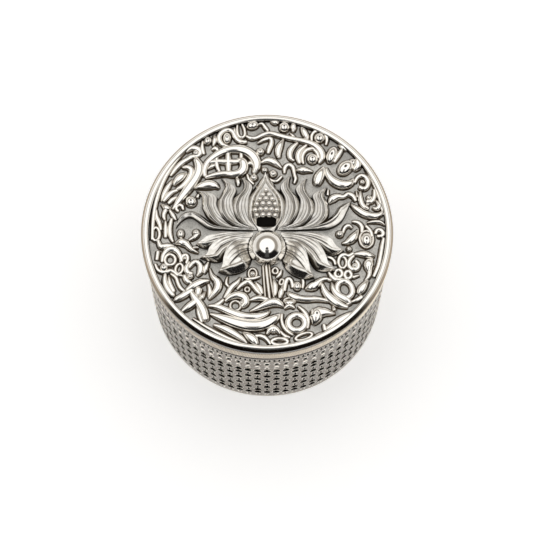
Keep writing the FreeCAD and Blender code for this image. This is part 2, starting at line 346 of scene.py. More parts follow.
def petal(left, right, rise, outer, edge_rise, bevel_width, sink, lines, plunge):
    """A lotus petal between its two edges, from root to tip.

    Its outer edge is a rounded roll, and the rest lies lower and has fine chased lines. The outer
    side is -1 for the left edge, 1 for the right and 0 for a petal with a roll on both.
    """
    bm = bmesh.new()
    painted_shade_and_tarnish = bm.verts.layers.float.new("painted_shade_and_tarnish")
    bmesh.ops.create_grid(bm, x_segments=PETAL_STEPS, y_segments=PETAL_ROWS, size=0.5)
    rolled = sink > ROLLED_SINK
    style = ROLLED if rolled else FLATTER
    for vert in bm.verts:
        along = vert.co.x + 0.5
        across = vert.co.y + 0.5
        edge_left = smooth_line(left, along)
        edge_right = smooth_line(right, along)
        place = edge_left.lerp(edge_right, across)
        width = (edge_right - edge_left).length
        from_left = across * width
        from_right = width - from_left
        from_boss = math.hypot(place.x, place.y - BOSS_MIDDLE)
        if outer == 0:
            from_outer = from_inner = min(from_left, from_right)
        else:
            from_outer, from_inner = (from_left, from_right) if outer < 0 else (from_right, from_left)
        bevel = bevel_width * (ROOT_BEVEL + (1 - ROOT_BEVEL) * ease(0.0, 0.5, along))
        bevel = min(bevel, WIDEST_BEVEL * width)
        roll = style["roll"] * bevel
        climb = 1 - (1 - min(from_outer / max(bevel, 1e-3), 1.0)) ** style["climb"]
        if outer:
            climb *= ease(-0.1, 0.3, from_inner)
        swell = petal_swell(along, plunge, style["fall"])
        hollow = sink * ease(roll * 0.8, roll + 0.9, from_outer)
        hollow *= ease(0.02, 0.25, along) * ease(1.0, 0.8, along)
        share = (from_outer - roll) / max((width if outer else width / 2) - roll, 0.1)
        lined = chased_share(share, along, width, outer, rolled)
        wave = math.cos(math.tau * lines * share)
        crease = crease_share(from_outer, roll, along, width, rolled) if outer else 0.0
        height = swell * (edge_rise + (rise - edge_rise) * climb) - hollow
        height += style["line_depth"] * (wave - 1) * lined - CREASE_DEPTH * crease
        height *= BESIDE_BALL + (1 - BESIDE_BALL) * ease(BOSS_RADIUS, BOSS_RADIUS + BALL_REACH, from_boss)
        # Painted shade in the hollow, at the tip, in the chased lines and in the crease, and painted shadow
        # along the edges and round the ball.
        grey = hollow_painted_shade(from_outer, roll, along) if rolled else 0.0
        line = style["line_shade"] * lined * ease(-0.4, -1.0, wave)
        edge = edge_painted_shadow(from_outer, from_inner, from_boss, along, outer, rolled)
        vert[painted_shade_and_tarnish] = max(grey + line, edge, crease)
        vert.co = (place.x, place.y, GROUND + max(height, LEAST_HEIGHT))
    close_under(bm)
    return bm


def close_under(bm):
    """Drops walls from the open edge of the ornament to under the ground, and closes it there."""
    wall = bmesh.ops.extrude_edge_only(bm, edges=[edge for edge in bm.edges if edge.is_boundary])["geom"]
    for vert in (item for item in wall if isinstance(item, bmesh.types.BMVert)):
        vert.co.z = GROUND - SINK
    bmesh.ops.remove_doubles(bm, verts=bm.verts, dist=1e-3)
    bmesh.ops.holes_fill(bm, edges=[edge for edge in bm.edges if edge.is_boundary], sides=0)
    bmesh.ops.recalc_face_normals(bm, faces=bm.faces)


# Petals: the tallest point, outer side, height at the edge, width of the bevel there, how much lower
# the rest lies, number of chased lines, where the tip starts to fall, and from root to tip the left
# edge's x and y and the right edge's.
PETALS = {
    "side_petal_left": (1.9, 1, 0.5, 1.1, 0.35, 2, 0.75, [
        (-4, 0.1, -4, 0.5), (-12, 0.2, -11.5, 1.3), (-16.5, 0.5, -15.5, 2.3), (-19.3, 2.4, -18.8, 4.9),
        (-21.8, 3.9, -21.8, 6.1), (-24.2, 2.9, -25, 4.6), (-26.1, 0.6, -26.1, 0.6),
    ]),
    "side_petal_right": (1.9, -1, 0.5, 1.1, 0.35, 2, 0.75, [
        (4, 0.5, 4, 0.1), (12, 1.5, 12.5, 0.2), (16, 2.8, 17.6, 0.5), (18.9, 5.0, 21, 2.4),
        (20.8, 7.6, 22.7, 5.3), (24.4, 9.4, 24.4, 9.4),
    ]),
    "upper_petal_left_3": (2.3, -1, 0.9, 1.7, 0.7, 4, 0.8, [
        (-4, 0.2, -3.4, 0.5), (-12.4, 0.7, -8.7, 2.7), (-16.6, 3.2, -12.6, 4.8), (-18.5, 6.6, -14.2, 7.6),
        (-18.7, 9, -14.2, 10.2), (-18.9, 10.6, -17, 11.6), (-20.5, 12, -20.5, 12),
    ]),
    "upper_petal_right_3": (2.3, 1, 0.9, 1.7, 0.7, 4, 0.8, [
        (3.4, 0.5, 4, 0.2), (9.2, 2.7, 13.2, 0.8), (12.6, 4.8, 17.2, 3.4), (13.4, 7.9, 17.8, 6.8),
        (12.8, 10.6, 16.8, 9.6), (14.8, 12, 16.4, 11), (17.4, 13.2, 17.4, 13.2),
    ]),
    "upper_petal_left_2": (2.6, -1, 1.0, 1.8, 0.8, 4, 0.8, [
        (-3.6, 0.3, -3, 0.5), (-10, 1.4, -7, 3), (-13.7, 4.6, -9, 6), (-14.4, 8.4, -9.6, 9.2),
        (-12.9, 11.6, -8.6, 12.2), (-12.2, 13.7, -10.6, 14.4), (-13.3, 15.8, -13.3, 15.8),
    ]),
    "upper_petal_right_2": (2.6, 1, 1.0, 1.8, 0.8, 4, 0.8, [
        (3, 0.5, 3.6, 0.3), (7.2, 3.2, 10.4, 1.4), (8.8, 6, 13.6, 4.8), (9.3, 9.2, 13.6, 8.2),
        (8, 12.4, 11.8, 11.2), (9.5, 14.3, 11, 13.4), (11.6, 15.9, 11.6, 15.9),
    ]),
    "upper_petal_left_1": (2.9, -1, 1.1, 1.9, 0.9, 4, 0.8, [
        (-3.3, 0.3, -2.7, 0.5), (-8, 2.4, -3.7, 3.1), (-10.2, 6.2, -4.8, 6.2), (-9.7, 9.6, -4.9, 9.6),
        (-7.4, 12, -4, 12.9), (-6.8, 13.9, -5.2, 14.8), (-7.5, 16, -7.5, 16),
    ]),
    "upper_petal_right_1": (2.9, 1, 1.1, 1.9, 0.9, 4, 0.8, [
        (2.7, 0.5, 3.3, 0.3), (3.7, 3.1, 7.2, 2), (4.8, 6.2, 9.5, 5.8), (4.9, 9.6, 9.2, 9.4),
        (3.6, 12.8, 7.2, 12), (4.8, 14.9, 6.5, 14.2), (7, 16.6, 7, 16.6),
    ]),
    "centre_petal": (2.9, 0, 0.9, 1.9, 0.9, 1, 0.55, [
        (-2.9, 0.2, 2.4, 0.2), (-5.3, 3.2, 4.8, 3.2), (-6.1, 6.5, 5.7, 6.5), (-5.5, 9.8, 5.1, 9.8),
        (-3.4, 13.4, 2.6, 13.4), (-0.5, 17.8, -0.5, 17.8),
    ]),
    "lower_petal_left_3": (2.1, -1, 0.6, 1.6, 0.2, 3, 0.9, [
        (-4, -1.8, -4, -0.1), (-9, -2.6, -9, -0.2), (-13.4, -4.4, -13.4, -0.5), (-16.6, -5.4, -17, -1.6),
        (-18.4, -5.2, -18.4, -2.7), (-20.3, -4.1, -20.3, -4.1),
    ]),
    "lower_petal_right_3": (2.1, 1, 0.6, 1.6, 0.2, 3, 0.9, [
        (4, -0.1, 4, -1.8), (9.5, -0.2, 9.5, -2.6), (14.6, -0.8, 14, -4.8), (18.2, -2.4, 16.8, -6.8),
        (19.8, -4.6, 19.2, -7.5), (22, -6, 22, -6),
    ]),
    "lower_petal_left_2": (2.45, -1, 0.7, 1.8, 0.25, 4, 0.9, [
        (-4, -3, -4, -0.6), (-8, -4.4, -9.5, -1), (-11.4, -7.2, -13.6, -2.2), (-13, -9.2, -16.4, -5),
        (-15.6, -9.4, -17.2, -7), (-19.2, -8.2, -19.2, -8.2),
    ]),
    "lower_petal_right_2": (2.45, 1, 0.7, 1.8, 0.25, 4, 0.9, [
        (4, -0.6, 4, -3), (9.6, -1.2, 8.2, -4.6), (14.2, -3.4, 11.6, -8.6), (16.6, -7, 13.6, -11.6),
        (17.6, -10, 16.6, -12.4), (19.6, -12, 19.6, -12),
    ]),
    "lower_petal_left_1": (2.8, -1, 0.9, 2.1, 0.3, 5, 0.9, [
        (-4.2, -8.4, -4.2, -1.6), (-4.9, -10.4, -8.6, -2.4), (-6.4, -12, -11.2, -4.8),
        (-8.8, -13, -12.4, -8), (-11.4, -13.2, -12.8, -10.6), (-13.9, -12.4, -13.9, -12.4),
    ]),
    "lower_petal_right_1": (2.8, 1, 0.9, 2.1, 0.3, 5, 0.9, [
        (4, -1.6, 4, -8.6), (8.4, -2.8, 4.9, -11), (10.9, -5.8, 7, -13.2), (11.9, -9.4, 9.6, -14.4),
        (12.4, -12.2, 11.4, -14.6), (13.5, -14.2, 13.5, -14.2),
    ]),
}

# The scrolling ornament, strand by strand: x, y and half width along each.
STRANDS = [
    # back left
    [(-9.3, 28.7, 0.5), (-9.8, 30.4, 0.5), (-10.9, 31.3, 0.5), (-12.7, 30.9, 0.5), (-14, 29.4, 0.6),
     (-13.9, 27.6, 0.6), (-12.8, 26.3, 0.5), (-11, 26, 0.3)],
    [(-9.5, 31.6, 0.3), (-9.5, 29.5, 0.5), (-8.7, 27.9, 0.5), (-7.3, 27.3, 0.5), (-6, 27.4, 0.4)],
    [(-15.3, 29.4, 0.3), (-15.1, 27.8, 0.6), (-15.6, 26.2, 0.3)],
    [(-18.7, 27.6, 0.3), (-18.9, 25.6, 0.5), (-18.3, 23.6, 0.4)],
    [(-16, 25, 0.3), (-14.8, 25.6, 0.5), (-14.3, 24.6, 0.4)],
    [(-23.3, 24.2, 0.3), (-21.8, 25.6, 0.6), (-19.9, 25.3, 0.7), (-19.1, 23.9, 0.5), (-20, 22.9, 0.4),
     (-21.7, 22.9, 0.5), (-23.2, 22, 0.5)],
    [(-22, 22.5, 0.5), (-24.6, 21, 0.6), (-26.6, 18.7, 0.5), (-27.8, 16.9, 0.3)],
    [(-20.5, 21.8, 0.7), (-19.4, 19.8, 1.0), (-20, 16.8, 0.95), (-22.3, 13.4, 0.95), (-24.8, 9.9, 0.8),
     (-26.9, 6.7, 0.35)],
    [(-24.4, 19.4, 0.3), (-22.9, 19.6, 0.6), (-21.6, 18.7, 0.65), (-22.2, 16.4, 0.6), (-24, 13.9, 0.55),
     (-26, 12.6, 0.4)],
    [(-23.3, 17.6, 0.4), (-24.8, 16.5, 0.9), (-26.3, 15, 0.7), (-26.8, 13.9, 0.3)],
    [(-27.2, 15.7, 0.2), (-28.4, 13.6, 0.6), (-29.8, 10.9, 0.5), (-30.3, 9, 0.2)],
    [(-25.8, 12.4, 0.35), (-27.2, 12, 0.5), (-28.4, 10.8, 0.6), (-29.6, 9.1, 0.4)],
    [(-26, 10.4, 0.3), (-27.2, 9.6, 0.5), (-28.2, 8.4, 0.4)],
    [(-20.9, 13, 0.2), (-18.9, 13.8, 0.85), (-16.6, 14.2, 1.05), (-14.8, 13.9, 0.8), (-13.8, 13, 0.3)],
    [(-19.5, 11.4, 0.3), (-20, 10.3, 0.4)],
    [(-24, 6.5, 0.3), (-24.3, 7.8, 0.45), (-25.6, 8, 0.4), (-26.2, 6.8, 0.4), (-25.4, 6, 0.35)],
    [(-30.3, 8.2, 0.2), (-28.8, 6.9, 0.75), (-27.6, 6.9, 0.35)],
    [(-28.9, 6.6, 0.5), (-29.7, 4.9, 0.5), (-29.2, 3.4, 0.3)],
    [(-27.8, 6.2, 0.35), (-26.8, 4.6, 0.5), (-26.1, 3.4, 0.3)],
    [(-31.8, 6.6, 0.3), (-31.6, 4.2, 0.5), (-30.7, 2.4, 0.5), (-30.3, 0.4, 0.35)],
    [(-27.3, 3.6, 0.4), (-27.8, 1, 0.5), (-27.6, -1.5, 0.5), (-26.8, -3.2, 0.3)],
    [(-29, 3, 0.3), (-28.9, 0.6, 0.5), (-28.9, -1.8, 0.4)],
    [(-22.4, 25.9, 0.25), (-26.4, 21.7, 0.45), (-29.6, 16.2, 0.5), (-31.7, 10, 0.5), (-32.6, 4, 0.45),
     (-32.7, -2.5, 0.4)],
    # big half palmette
    [(-17.9, 16.8, 0.5), (-18.2, 18.7, 0.6), (-17.4, 21, 0.65), (-15, 23.2, 0.75), (-11.8, 24.9, 0.85),
     (-8.2, 25.3, 0.95), (-5.1, 24.2, 1.05), (-3.2, 21.8, 1.1), (-2.9, 19.6, 0.9), (-3.8, 17.8, 0.5)],
    [(-17.7, 16.4, 0.4), (-14.8, 17.2, 0.65), (-12, 17.6, 0.65), (-9.6, 17.3, 0.8), (-7.4, 17.8, 0.95),
     (-6.5, 19.6, 1.0), (-7.1, 21.6, 0.85), (-8.6, 21.7, 0.5)],
    [(-11.3, 24.3, 0.5), (-11.2, 21.4, 0.75), (-11.1, 18.2, 0.5)],
    [(-16.9, 21, 0.5), (-13.9, 21.3, 0.6), (-10.9, 21.1, 0.7), (-7.8, 21.4, 0.5)],
    [(-14.5, 23, 0.4), (-14.7, 21.3, 0.6), (-14.3, 19.2, 0.45), (-13.5, 17.9, 0.3)],
    [(-17.2, 18.9, 0.2), (-16, 19.8, 0.5), (-14.8, 20.3, 0.3)],
    [(-7.5, 24.4, 0.4), (-7.5, 22, 0.5)],
    [(-5.9, 20.4, 0.3), (-4.8, 20.9, 0.6), (-4, 20.1, 0.4)],
    [(-8.8, 16.4, 0.3), (-8.2, 14.9, 0.6), (-8.4, 13.8, 0.3)],
    [(-5.7, 17.3, 0.3), (-5.3, 15.6, 0.4), (-3.9, 14.3, 0.35)],
    # back, near the rim
    [(-8.6, 33.2, 0.25), (-8.8, 31, 0.35), (-8.4, 29.2, 0.35), (-7.2, 28.6, 0.35), (-6.3, 29.6, 0.35),
     (-6.6, 31.6, 0.35), (-7.3, 33, 0.3)],
    [(-6, 29.2, 0.35), (-4.8, 28.4, 0.5), (-3, 28.6, 0.4), (-1.4, 29.6, 0.5), (1, 30.2, 0.55),
     (4, 29.2, 0.55), (7.5, 28.3, 0.6), (11, 27.6, 0.6), (13.8, 26.5, 0.7), (15.6, 24.6, 0.85),
     (16.1, 22.4, 0.7), (15, 20.8, 0.35)],
    [(-2.6, 32.8, 0.3), (-1.4, 33.3, 0.4), (-0.6, 32, 0.45), (0.2, 30.9, 0.4)],
    [(1.2, 33.8, 0.35), (2.5, 33.3, 0.65), (3.5, 33.9, 0.3)],
    [(7.5, 33.5, 0.4), (7.7, 32, 0.75), (7.6, 30.6, 0.4)],
    [(6.6, 30.2, 0.2), (7.6, 29.2, 0.4), (8.4, 28.3, 0.3)],
    [(9.9, 32, 0.3), (10.6, 30.9, 0.7), (11.4, 29.2, 0.7), (11.7, 27.9, 0.3)],
    [(12, 32, 0.4), (13.2, 31.8, 0.45), (14.4, 31.6, 0.3)],
    [(13, 27.4, 0.3), (12.8, 29.4, 0.4), (13.9, 30.9, 0.4), (15.7, 30.9, 0.4), (17.1, 29.7, 0.45),
     (17.5, 28, 0.4), (17, 26.5, 0.3)],
    # feathered leaf
    [(-2.7, 27, 0.25), (-0.9, 28.1, 0.45), (1.2, 28.7, 0.45), (1.4, 27, 0.55), (0.6, 25.2, 0.55),
     (0.3, 23.9, 0.4)],
    [(4.7, 28, 0.3), (3.7, 26.3, 0.75), (3.1, 24.3, 0.75), (3.4, 22.5, 0.4)],
    [(8.8, 27, 0.35), (7.1, 25.5, 0.65), (6.4, 23.7, 0.65), (6.8, 22, 0.5), (7.8, 21.6, 0.3)],
    [(11.4, 26.3, 0.35), (9.4, 24.7, 0.6), (8.8, 22.7, 0.65), (9.4, 20.8, 0.45)],
    [(13.9, 25.2, 0.4), (12, 25.3, 0.45), (10.5, 24, 0.45), (10.1, 22.2, 0.4), (10.5, 20.6, 0.3)],
    [(14.9, 22.4, 0.35), (14.6, 24, 0.45), (13.5, 25, 0.35)],
    [(-1.6, 21, 0.35), (0.3, 21.9, 0.75), (2.4, 20.9, 0.75), (4.1, 19.3, 0.3)],
    [(5, 17.7, 0.3), (5, 19.4, 0.5), (6.2, 20.5, 0.5), (7.6, 19.6, 0.5), (7.8, 17.6, 0.35),
     (8.3, 16, 0.45), (7.8, 14.6, 0.3)],
    [(8.7, 18.6, 0.4), (10.3, 18.7, 0.85), (12, 18.5, 0.5), (13.2, 18.1, 0.2)],
    [(0.4, 16, 0.3), (2.6, 14.8, 0.35), (4.2, 16.6, 0.35)],
    # buds and leaves, back right
    [(21.5, 24.7, 0.5), (20.4, 22.9, 0.6), (19.4, 21.2, 0.4)],
    [(20.8, 26.4, 0.3), (21.9, 25.6, 0.6), (22.9, 24.8, 0.3)],
    [(26, 21.7, 0.7), (26.3, 20, 0.9), (25.2, 18.8, 0.6)],
    [(17, 19.2, 0.4), (17.5, 17, 0.7), (19.3, 14.9, 0.95), (21.8, 13.9, 1.0), (24, 14.5, 0.8),
     (24.9, 15.8, 0.35)],
    [(16.3, 19.4, 0.4), (15.6, 17.9, 0.9), (14.8, 16, 1.1), (14.3, 14.4, 0.8)],
    [(25.2, 14.8, 0.35), (25.9, 16.4, 0.4), (27.4, 17.2, 0.5), (28.9, 16, 0.55), (29.2, 14, 0.5),
     (28, 12.6, 0.5), (26.6, 13.4, 0.5)],
    [(26.8, 12, 0.3), (26.7, 9.7, 0.6), (27.4, 7.5, 0.55), (29, 6.8, 0.4)],
    [(30.8, 12.6, 0.35), (30.9, 10.4, 0.5), (30, 8.8, 0.5), (28.7, 9, 0.5)],
    [(31.3, 9.2, 0.3), (32.4, 7.7, 0.6), (31.5, 6.6, 0.55), (30.3, 7.1, 0.3)],
    [(24.1, 8, 0.3), (25.6, 6.7, 0.7), (27.7, 5.1, 0.75), (30.2, 4.5, 0.75), (32.3, 4.8, 0.55),
     (33.2, 6.2, 0.3)],
    [(17.7, 8.4, 0.3), (18.5, 9.7, 0.9), (20.3, 10.7, 0.7), (22, 10.3, 0.4), (23.2, 11.4, 0.55),
     (24.7, 10.8, 0.55), (25.4, 9.2, 0.4)],
    [(17.5, 12.6, 0.3), (17.4, 11, 0.35)],
    [(25.6, 12.2, 0.2), (25.9, 10.4, 0.3)],
    [(28.6, 2.6, 0.2), (30.4, 2.9, 0.4), (32.6, 2.8, 0.45), (33.6, 1.8, 0.2)],
    [(28.4, 19, 0.3), (30.6, 15, 0.4), (32.3, 10, 0.4), (33.2, 5, 0.3)],
    [(21.6, -0.6, 0.3), (22, 1, 0.45), (23.2, 1.9, 0.45), (24.2, 1, 0.3)],
    [(24.4, 2.9, 0.3), (26, 2.7, 0.5), (27.2, 1.4, 0.5), (27, -0.4, 0.35)],
    [(28.2, 1.6, 0.35), (29.5, 0.2, 0.45), (30, -1.6, 0.35)],
    # front right
    [(26, 0.4, 0.25), (25.2, -1, 0.7), (24.2, -2.5, 0.9), (22.7, -3.5, 0.55), (21.3, -3.7, 0.2)],
    [(30.9, -0.8, 0.35), (31.2, 0.3, 0.45), (32.4, 0.5, 0.5), (33.3, -0.6, 0.5), (32.6, -1.7, 0.45),
     (31.5, -1.5, 0.4)],
    [(33.2, -2.2, 0.4), (32.7, -4.6, 0.5), (32.2, -7.5, 0.5), (31.6, -10.4, 0.5), (30.2, -13.6, 0.4)],
    [(20.1, -9.6, 0.3), (20.4, -7.9, 0.45), (21.7, -6.9, 0.55), (23, -7.6, 0.4), (24.4, -6.7, 0.4)],
    [(24.8, -6.9, 0.3), (27, -6.8, 0.75), (29, -7.3, 0.75), (30.6, -7.6, 0.2)],
    [(24.6, -7.4, 0.35), (23.2, -8.7, 0.45), (23, -10.4, 0.5), (24.1, -11.6, 0.5), (25.6, -11.4, 0.5),
     (26.1, -10, 0.45), (25.2, -8.9, 0.4)],
    [(29.8, -8.4, 0.4), (28.8, -9.6, 1.1), (28.6, -10.8, 0.9), (29.1, -12.4, 0.45), (28.6, -13.9, 0.45),
     (27.6, -14.8, 0.2)],
    [(17.3, -11.9, 0.3), (17.9, -13.2, 0.5), (19.2, -14.6, 0.55), (21, -14.6, 0.5), (22.7, -15, 0.5),
     (24, -16, 0.3)],
    [(24.3, -13.8, 0.4), (26, -13.2, 0.25)],
    [(16.7, -7.9, 0.25), (17.8, -7.9, 0.4), (19, -8.6, 0.4), (19.3, -10, 0.35)],
    [(5, -17.8, 0.35), (5.1, -15.5, 0.5), (5.9, -14, 0.5), (7, -14.8, 0.45), (7.2, -16.8, 0.35)],
    [(10, -13.9, 0.3), (10.3, -15.4, 0.4), (10, -17, 0.3)],
    [(10.8, -17.4, 0.25), (12.2, -16.8, 0.95), (13.7, -16, 0.95), (15, -14.7, 0.6), (16.6, -14.1, 0.4),
     (18, -14.8, 0.35)],
    [(15.5, -15.8, 0.4), (16, -17.7, 0.65), (17.4, -19.7, 0.85), (19.8, -21.7, 0.85), (22.6, -22.6, 0.4)],
    [(18.3, -15.6, 0.3), (18.6, -17.4, 0.6), (20, -19.2, 0.75), (22.3, -20.3, 0.8), (23.5, -21.5, 0.5),
     (22.4, -21.7, 0.3)],
    [(28.4, -14.9, 0.4), (27.4, -16.3, 0.8), (26.4, -17.7, 0.9), (25.8, -18.6, 0.5)],
    [(26.7, -19.6, 0.5), (25.2, -20.6, 0.5), (23.9, -21, 0.3)],
    [(5.8, -18.4, 0.4), (6.8, -19.3, 0.7), (8.6, -20, 0.7), (11, -20.4, 0.65), (14, -20.1, 0.6),
     (16.8, -20.7, 0.4), (18.4, -21.2, 0.2)],
    [(4.6, -20.6, 0.2), (6.2, -21.7, 0.75), (8, -20.8, 0.3)],
    [(4.9, -23, 0.3), (6.3, -21.9, 0.6), (7.7, -22.8, 0.3)],
    [(8.8, -22.4, 0.3), (10.7, -24.1, 0.5), (11.6, -26.3, 0.5), (11.3, -28.7, 0.35)],
    [(4.2, -24.6, 0.3), (4, -27, 0.4), (5.2, -29.4, 0.4), (7.2, -30.7, 0.3)],
    [(12.8, -23.6, 0.6), (13.8, -25, 1.5), (13.5, -26.6, 1.0), (13, -27.6, 0.4)],
    [(14.4, -24.2, 1.2), (16.4, -24, 0.9), (18, -24.4, 0.5), (19.2, -24.5, 0.2)],
    [(18.5, -22.2, 0.2), (18.9, -23.4, 0.5)],
    [(17, -29, 0.6), (19.2, -27.4, 0.85), (21.6, -25.7, 0.8), (24.1, -24.2, 0.4)],
    [(15.9, -27.7, 0.4), (16.3, -29.3, 0.5)],
    [(0, -30.4, 0.35), (0.7, -29.2, 0.6), (1.8, -28.7, 0.8), (3, -29.4, 0.6), (3.5, -30.4, 0.3)],
    [(3.7, -29.6, 0.3), (4.8, -31, 0.4), (6.3, -31.5, 0.35)],
    # leaves beside the stem
    [(4.1, -11.6, 0.25), (3.7, -13, 0.45), (2.7, -13.9, 0.3)],
    [(1.9, -14.4, 0.25), (2.4, -16.7, 0.65), (2.2, -19.1, 0.35)],
    [(4.4, -16.4, 0.3), (4, -18.2, 0.65), (3.6, -19.8, 0.4)],
    [(-3.2, -15.4, 0.3), (-2.1, -16.7, 0.55), (-1.4, -18.6, 0.35)],
    [(-6.5, -14, 0.2), (-5.4, -14.4, 0.4), (-3.8, -14.2, 0.4), (-2.1, -13.6, 0.3)],
    [(-8.4, -17.3, 0.3), (-6.9, -15.7, 0.5), (-5.3, -15, 0.55), (-4.2, -15.9, 0.5), (-3, -17.7, 0.5),
     (-1.7, -19, 0.3)],
    # front left
    [(-19.8, -0.6, 0.6), (-20.4, -1.8, 0.55), (-22.2, -2.7, 0.3)],
    [(-20.9, -4.9, 0.3), (-19.6, -4.9, 0.3)],
    [(-26, -3.8, 0.3), (-24.6, -3.2, 0.9), (-22.9, -3.8, 0.75), (-21.6, -5.6, 0.5), (-19.5, -6.5, 0.2)],
    [(-29.8, -9.2, 0.35), (-29.5, -7, 0.5), (-27.9, -5.3, 0.75), (-25.9, -5.5, 0.7), (-24.6, -7.4, 0.5),
     (-24.2, -9, 0.4)],
    [(-31.1, -2.6, 0.4), (-30.3, -5, 0.65), (-28.5, -4.3, 0.6), (-26.6, -4.6, 0.4)],
    [(-31, -6.2, 0.45), (-31.3, -8.6, 0.4)],
    [(-31.7, -9.9, 0.35), (-31, -11.8, 0.4), (-29, -12.5, 0.45), (-27.3, -11.7, 0.45),
     (-26.2, -12.3, 0.4), (-25.4, -13.2, 0.4), (-24, -13.3, 0.3)],
    [(-24.6, -9.3, 0.3), (-24.2, -7.6, 0.45), (-23, -7, 0.45), (-22.3, -8, 0.4), (-22.9, -9.6, 0.35)],
    [(-22, -9.2, 0.3), (-23, -11, 0.6), (-22.5, -12.6, 0.6), (-21.2, -12.6, 0.4)],
    [(-22, -10.9, 0.35), (-21, -9.4, 0.55), (-19.7, -9.1, 0.55), (-18.7, -10.4, 0.7),
     (-18.9, -12.4, 0.65), (-19.8, -13.4, 0.3)],
    [(-16.6, -9.2, 0.3), (-17.3, -10.9, 0.65), (-17.8, -12.6, 0.3)],
    [(-23.4, -13.4, 0.5), (-22.8, -14.9, 0.6), (-21.2, -15.7, 0.4)],
    [(-28.8, -12.9, 0.4), (-29, -15, 0.6), (-28, -17.4, 0.7), (-26.4, -19.2, 0.5)],
    [(-27.8, -13.6, 0.25), (-27.5, -15.7, 0.5), (-26.3, -18, 0.45)],
    [(-27.2, -12.8, 0.3), (-25.6, -13.9, 0.4), (-25.2, -15.6, 0.4), (-24.3, -17.2, 0.45),
     (-23.3, -17.9, 0.35)],
    [(-22.6, -17.5, 0.5), (-20.7, -16.4, 0.85), (-18.4, -15.1, 0.8), (-16.4, -14.8, 0.35)],
    [(-21.2, -17.6, 0.6), (-23, -18.9, 0.75), (-25.3, -20.2, 0.65), (-26.3, -20.7, 0.3)],
    [(-21.6, -17.9, 0.5), (-20.6, -19.7, 0.75), (-19, -21.6, 0.9), (-17.8, -23.9, 0.95),
     (-17.3, -26.2, 0.85)],
    [(-18.5, -19.7, 0.4), (-20, -20.9, 0.75), (-22.2, -22.6, 0.8), (-23.8, -23.7, 0.4)],
    [(-17.4, -18, 0.2), (-18.4, -19.8, 0.6)],
    [(-19.3, -17.4, 0.8), (-19.5, -18.9, 0.6)],
    [(-19.6, -22.3, 0.3), (-19.2, -24.6, 0.5), (-18.3, -26.9, 0.4)],
    [(-16.2, -11.2, 0.2), (-15.6, -13.5, 0.5), (-13.9, -14.9, 0.9), (-13.7, -16.8, 0.8),
     (-15, -18.6, 0.6), (-16.4, -20.3, 0.25)],
    [(-16.5, -16, 0.35), (-16, -18, 0.55), (-16.5, -19.7, 0.25)],
    [(-11.2, -13.6, 0.2), (-11.7, -15.6, 0.4), (-10.9, -16.6, 0.3)],
    [(-7.5, -13.8, 0.2), (-8.3, -15.3, 0.5), (-9.9, -16.5, 0.65), (-11, -18.4, 0.55), (-12, -19.8, 0.35)],
    [(-12.3, -20.4, 0.35), (-13.4, -21.6, 0.5), (-15, -22.4, 0.5)],
    [(-11.7, -20.8, 0.35), (-10.3, -19.6, 0.65), (-8.1, -18.9, 0.8), (-6.2, -19.6, 0.85),
     (-5.8, -21.3, 0.8), (-7, -22.4, 0.55)],
    [(-16.4, -22.2, 0.3), (-13.8, -22.4, 0.65), (-10.5, -24, 0.75), (-6.7, -25.4, 0.85), (-3, -25.6, 0.8),
     (0, -24.6, 0.5), (0.8, -23.6, 0.2)],
    [(-15.9, -24.6, 0.3), (-12.7, -25.8, 0.85), (-8.5, -27.4, 1.1), (-4, -28.3, 1.2), (-0.2, -27.6, 1.1),
     (2.5, -25.7, 0.9), (3.6, -24.7, 0.3)],
    [(-14.9, -27.8, 0.3), (-12.2, -28.7, 0.7), (-9.2, -30.3, 0.75), (-6.9, -31.9, 0.55),
     (-5.7, -33.1, 0.3)],
    [(-20.8, -25.9, 0.25), (-16.2, -29, 0.4), (-10.8, -31.8, 0.4), (-6.6, -33.4, 0.25)],
    [(-6.7, -30, 0.3), (-5.3, -30.9, 0.75), (-3.7, -32.2, 1.0), (-2.9, -33.3, 0.6)],
    [(-3.2, -31, 0.4), (-1.3, -31, 0.5), (0, -32, 0.45), (0.9, -33.4, 0.35)],
    [(-4.8, -23.8, 0.2), (-2.6, -22.9, 0.55), (-0.2, -21.8, 0.85), (1.7, -21, 1.0), (3.5, -21.5, 0.8),
     (4.7, -22.6, 0.25)],
    [(-4.9, -20.6, 0.25), (-3.2, -20, 0.6), (-1.2, -20, 0.6), (0.6, -20.4, 0.3)],
]

# The ribs of the stem, in the same form.
STEM_RIBS = [
    [(-1.15, -10.0, 0.24), (-0.95, -14, 0.26), (-0.5, -19.8, 0.24)],
    [(-0.3, -10.0, 0.32), (0.1, -14.5, 0.34), (0.75, -20.2, 0.3)],
    [(0.55, -10.0, 0.22), (1.0, -14.5, 0.24), (1.9, -19.6, 0.22)],
]

# Balls and buds: x, y, half width, then half length and turn in degrees for a long one.
DROPS = [
    (-4.2, 32.5, 1.35, 1.95, -75), (-11.6, 28.5, 1.25, 1.8), (-17.2, 27.7, 1.15, 1.4, -30),
    (-20.6, 23.9, 0.95), (-2, 24.3, 1.25), (-3.8, 16.3, 1.15), (-0.7, 18.6, 0.95), (-21.8, 8.9, 1.75),
    (5, 31.9, 1.65), (15.2, 28.5, 1.6), (13.1, 22, 1.65), (18.7, 23.3, 1.6, 2.9, -20),
    (22.6, 19.3, 2.0, 2.9, -45), (24.6, 20.9, 1.3), (1.7, 17.5, 1.2), (29.3, 10.1, 0.9),
    (27.4, 14.9, 0.8), (20.7, -0.9, 1.15), (28.3, -2.7, 1.75, 2.2), (23.3, -5.4, 0.85),
    (24.8, -10.3, 0.8), (8.5, -16.4, 1.2, 1.5), (13, -16.5, 1.2, 1.5, 65), (-20.2, -0.4, 1.1),
    (-24.6, -0.8, 1.1, 1.5), (-29.2, -10.9, 1.25), (-21.7, -13.5, 0.95), (-4.1, -12.8, 0.85),
    (14, -24.7, 1.7, 2, 10), (1.8, -29.4, 1.05), (-23.3, -8.2, 0.6), (-7.1, -21.2, 0.7),
    (22.3, -20.9, 0.6), (28.8, 8.1, 0.6), (32, 0, 0.5),
]

